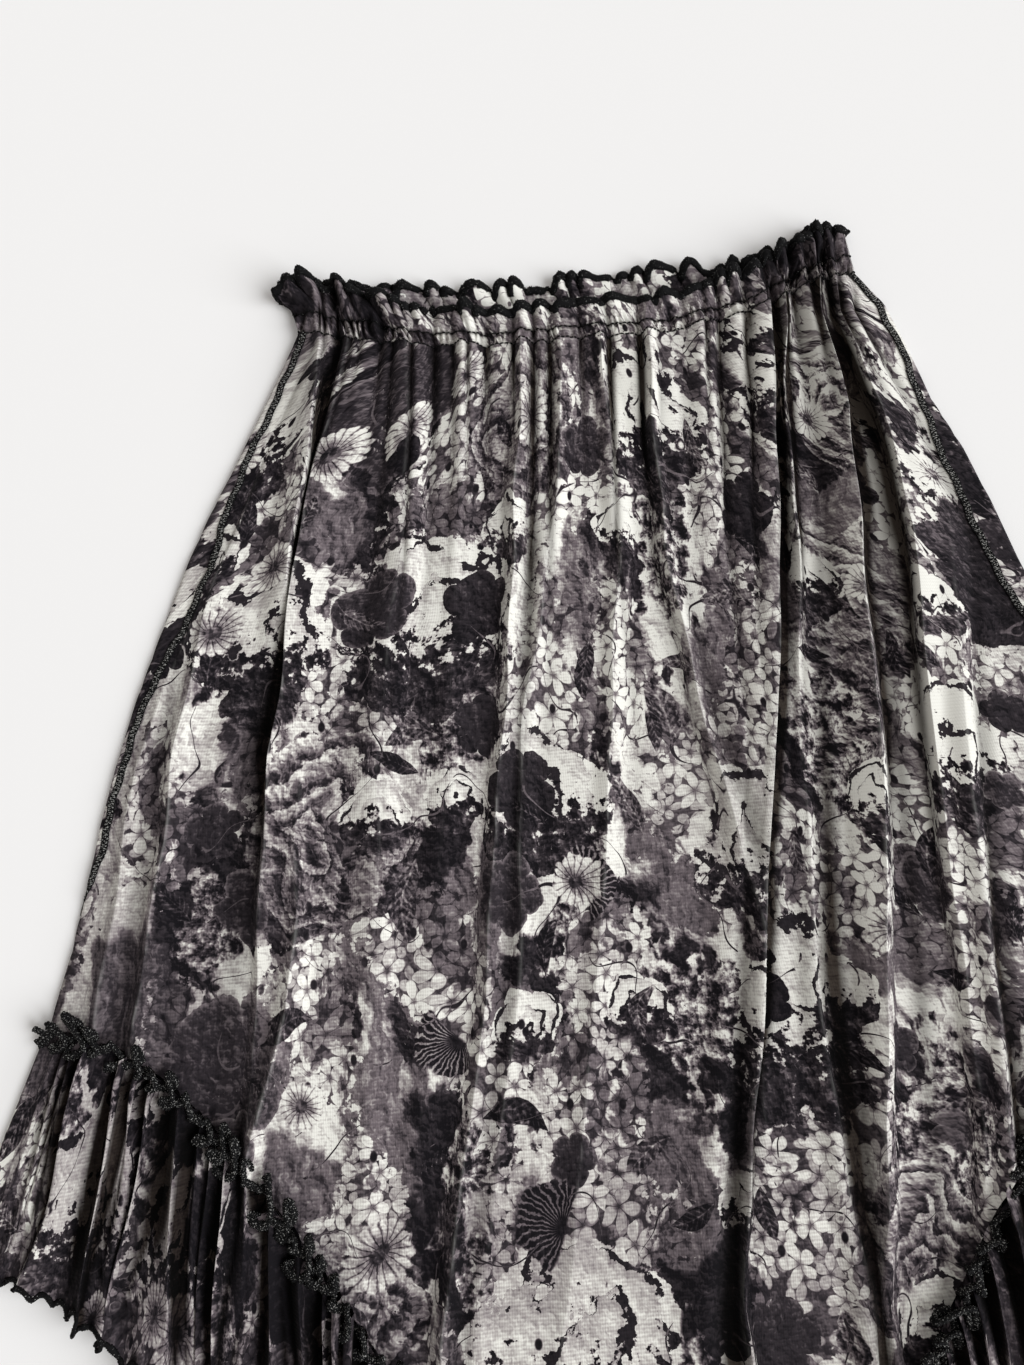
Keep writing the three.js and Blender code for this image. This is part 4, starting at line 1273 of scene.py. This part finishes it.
def build_skirt():
    cloth = cloth_material("printed_mesh")
    thread_black = thread_material("black_thread")

    def printed(piece, node_name):
        return add_piece(piece, cloth, "print_cloth", node_name)

    def threaded(piece, *node_names):
        return add_piece(piece, thread_black, "black_thread", *node_names)

    front = printed(front_panel(), "front_panel")
    back = printed(back_panel(), "back_panel")
    overlocks = (
        threaded(side_seam("left_overlock", True), "left_seam_overlock"),
        threaded(side_seam("right_overlock", False), "right_seam_overlock"),
    )

    heading_cloth, heading_grid = heading()
    printed(heading_cloth, "waist_heading")
    trims = [threaded(rim_band("heading_edge", heading_grid, 5.0, 3.4, 10), "heading_rolled_edge")]
    for name, row, lift in (
        ("lower_stitching", 0, 1.6),
        ("upper_stitching", CASING_ROWS - 1, 0.8),
    ):
        trims.append(threaded(stitch_line(name, heading_grid[row] + lift * UPWARD)))

    flounce_cloth, flounce_grid = flounce()
    printed(flounce_cloth, "flounce")
    hem = threaded(rim_band("hem_edge", flounce_grid, 2.7, 2.0, 8), "hem_rolled_edge")

    for is_front, node_name, cut in (
        (True, "front_flounce_frill", FRONT_ALLOWANCE_CUT),
        (False, "back_flounce_frill", BACK_ALLOWANCE_CUT),
    ):
        strip, chain = seam_frill(is_front)
        printed(strip, node_name)
        threaded(chain, node_name)


# ---- The floor, the light and the camera, in metres ----
FLOOR_REACH, FLOOR_DROP = 4.0, 0.0002
FLOOR_COLOUR = (0.858, 0.862, 0.87, 1)
ROOM_COLOUR, ROOM_STRENGTH = (1.0, 0.955, 0.91, 1), 0.47
WINDOW_COLOUR, WINDOW_STRENGTH, WINDOW_ANGLE = (0.985, 0.995, 1.0), 3.16, math.radians(50)
WINDOW_DIRECTION = Vector((-0.80, 0.30, -0.60))
# Over the lower part of the skirt, tilted a little towards the waist and rolled a little; its
# place and what it looks at are told from the middle of the waistline.
CAMERA_PLACE = Vector((-0.0586, -0.3177, 0.547))
CAMERA_TARGET = Vector((-0.0518, -0.2198, 0.003))
CAMERA_UP = Vector((0.0698, 0.9976, 0.0))
SENSOR_WIDTH, LENS = 36.0, 27.03


def build_stage():
    corners = np.array([(-1, -1, 0), (1, -1, 0), (1, 1, 0), (-1, 1, 0)]) * FLOOR_REACH / MM
    floor = make_mesh("floor", corners, np.array([[0, 1, 2, 3]], dtype=np.int32))
    floor.location.z = -FLOOR_DROP
    paint, _, shader = new_material("pale_floor", roughness=0.9)
    shader.inputs["Base Color"].default_value = FLOOR_COLOUR
    floor.data.materials.append(paint)
    floor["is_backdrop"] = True


def build_light():
    world = bpy.data.worlds.new("room")
    world.use_nodes = True
    background = world.node_tree.nodes["Background"]
    background.inputs[0].default_value = ROOM_COLOUR
    background.inputs[1].default_value = ROOM_STRENGTH
    bpy.context.scene.world = world
    window = bpy.data.lights.new("window", "SUN")
    window.energy, window.angle, window.color = WINDOW_STRENGTH, WINDOW_ANGLE, WINDOW_COLOUR
    light = add_object("window", window)
    light.rotation_euler = WINDOW_DIRECTION.to_track_quat("-Z", "Y").to_euler()


def build_camera():
    middle = Vector((0, WAIST_Y * MM, 0))
    towards = (CAMERA_TARGET - CAMERA_PLACE).normalized()
    right = towards.cross(CAMERA_UP).normalized()
    turn = Matrix((right, right.cross(towards), -towards)).transposed().to_4x4()
    data = bpy.data.cameras.new("camera")
    data.sensor_width, data.lens = SENSOR_WIDTH, LENS
    camera = add_object("camera", data)
    camera.matrix_world = Matrix.Translation(middle + CAMERA_PLACE) @ turn
    bpy.context.scene.camera = camera


build_skirt()
build_stage()
build_light()
build_camera()
bpy.context.scene.view_settings.view_transform = "Standard"
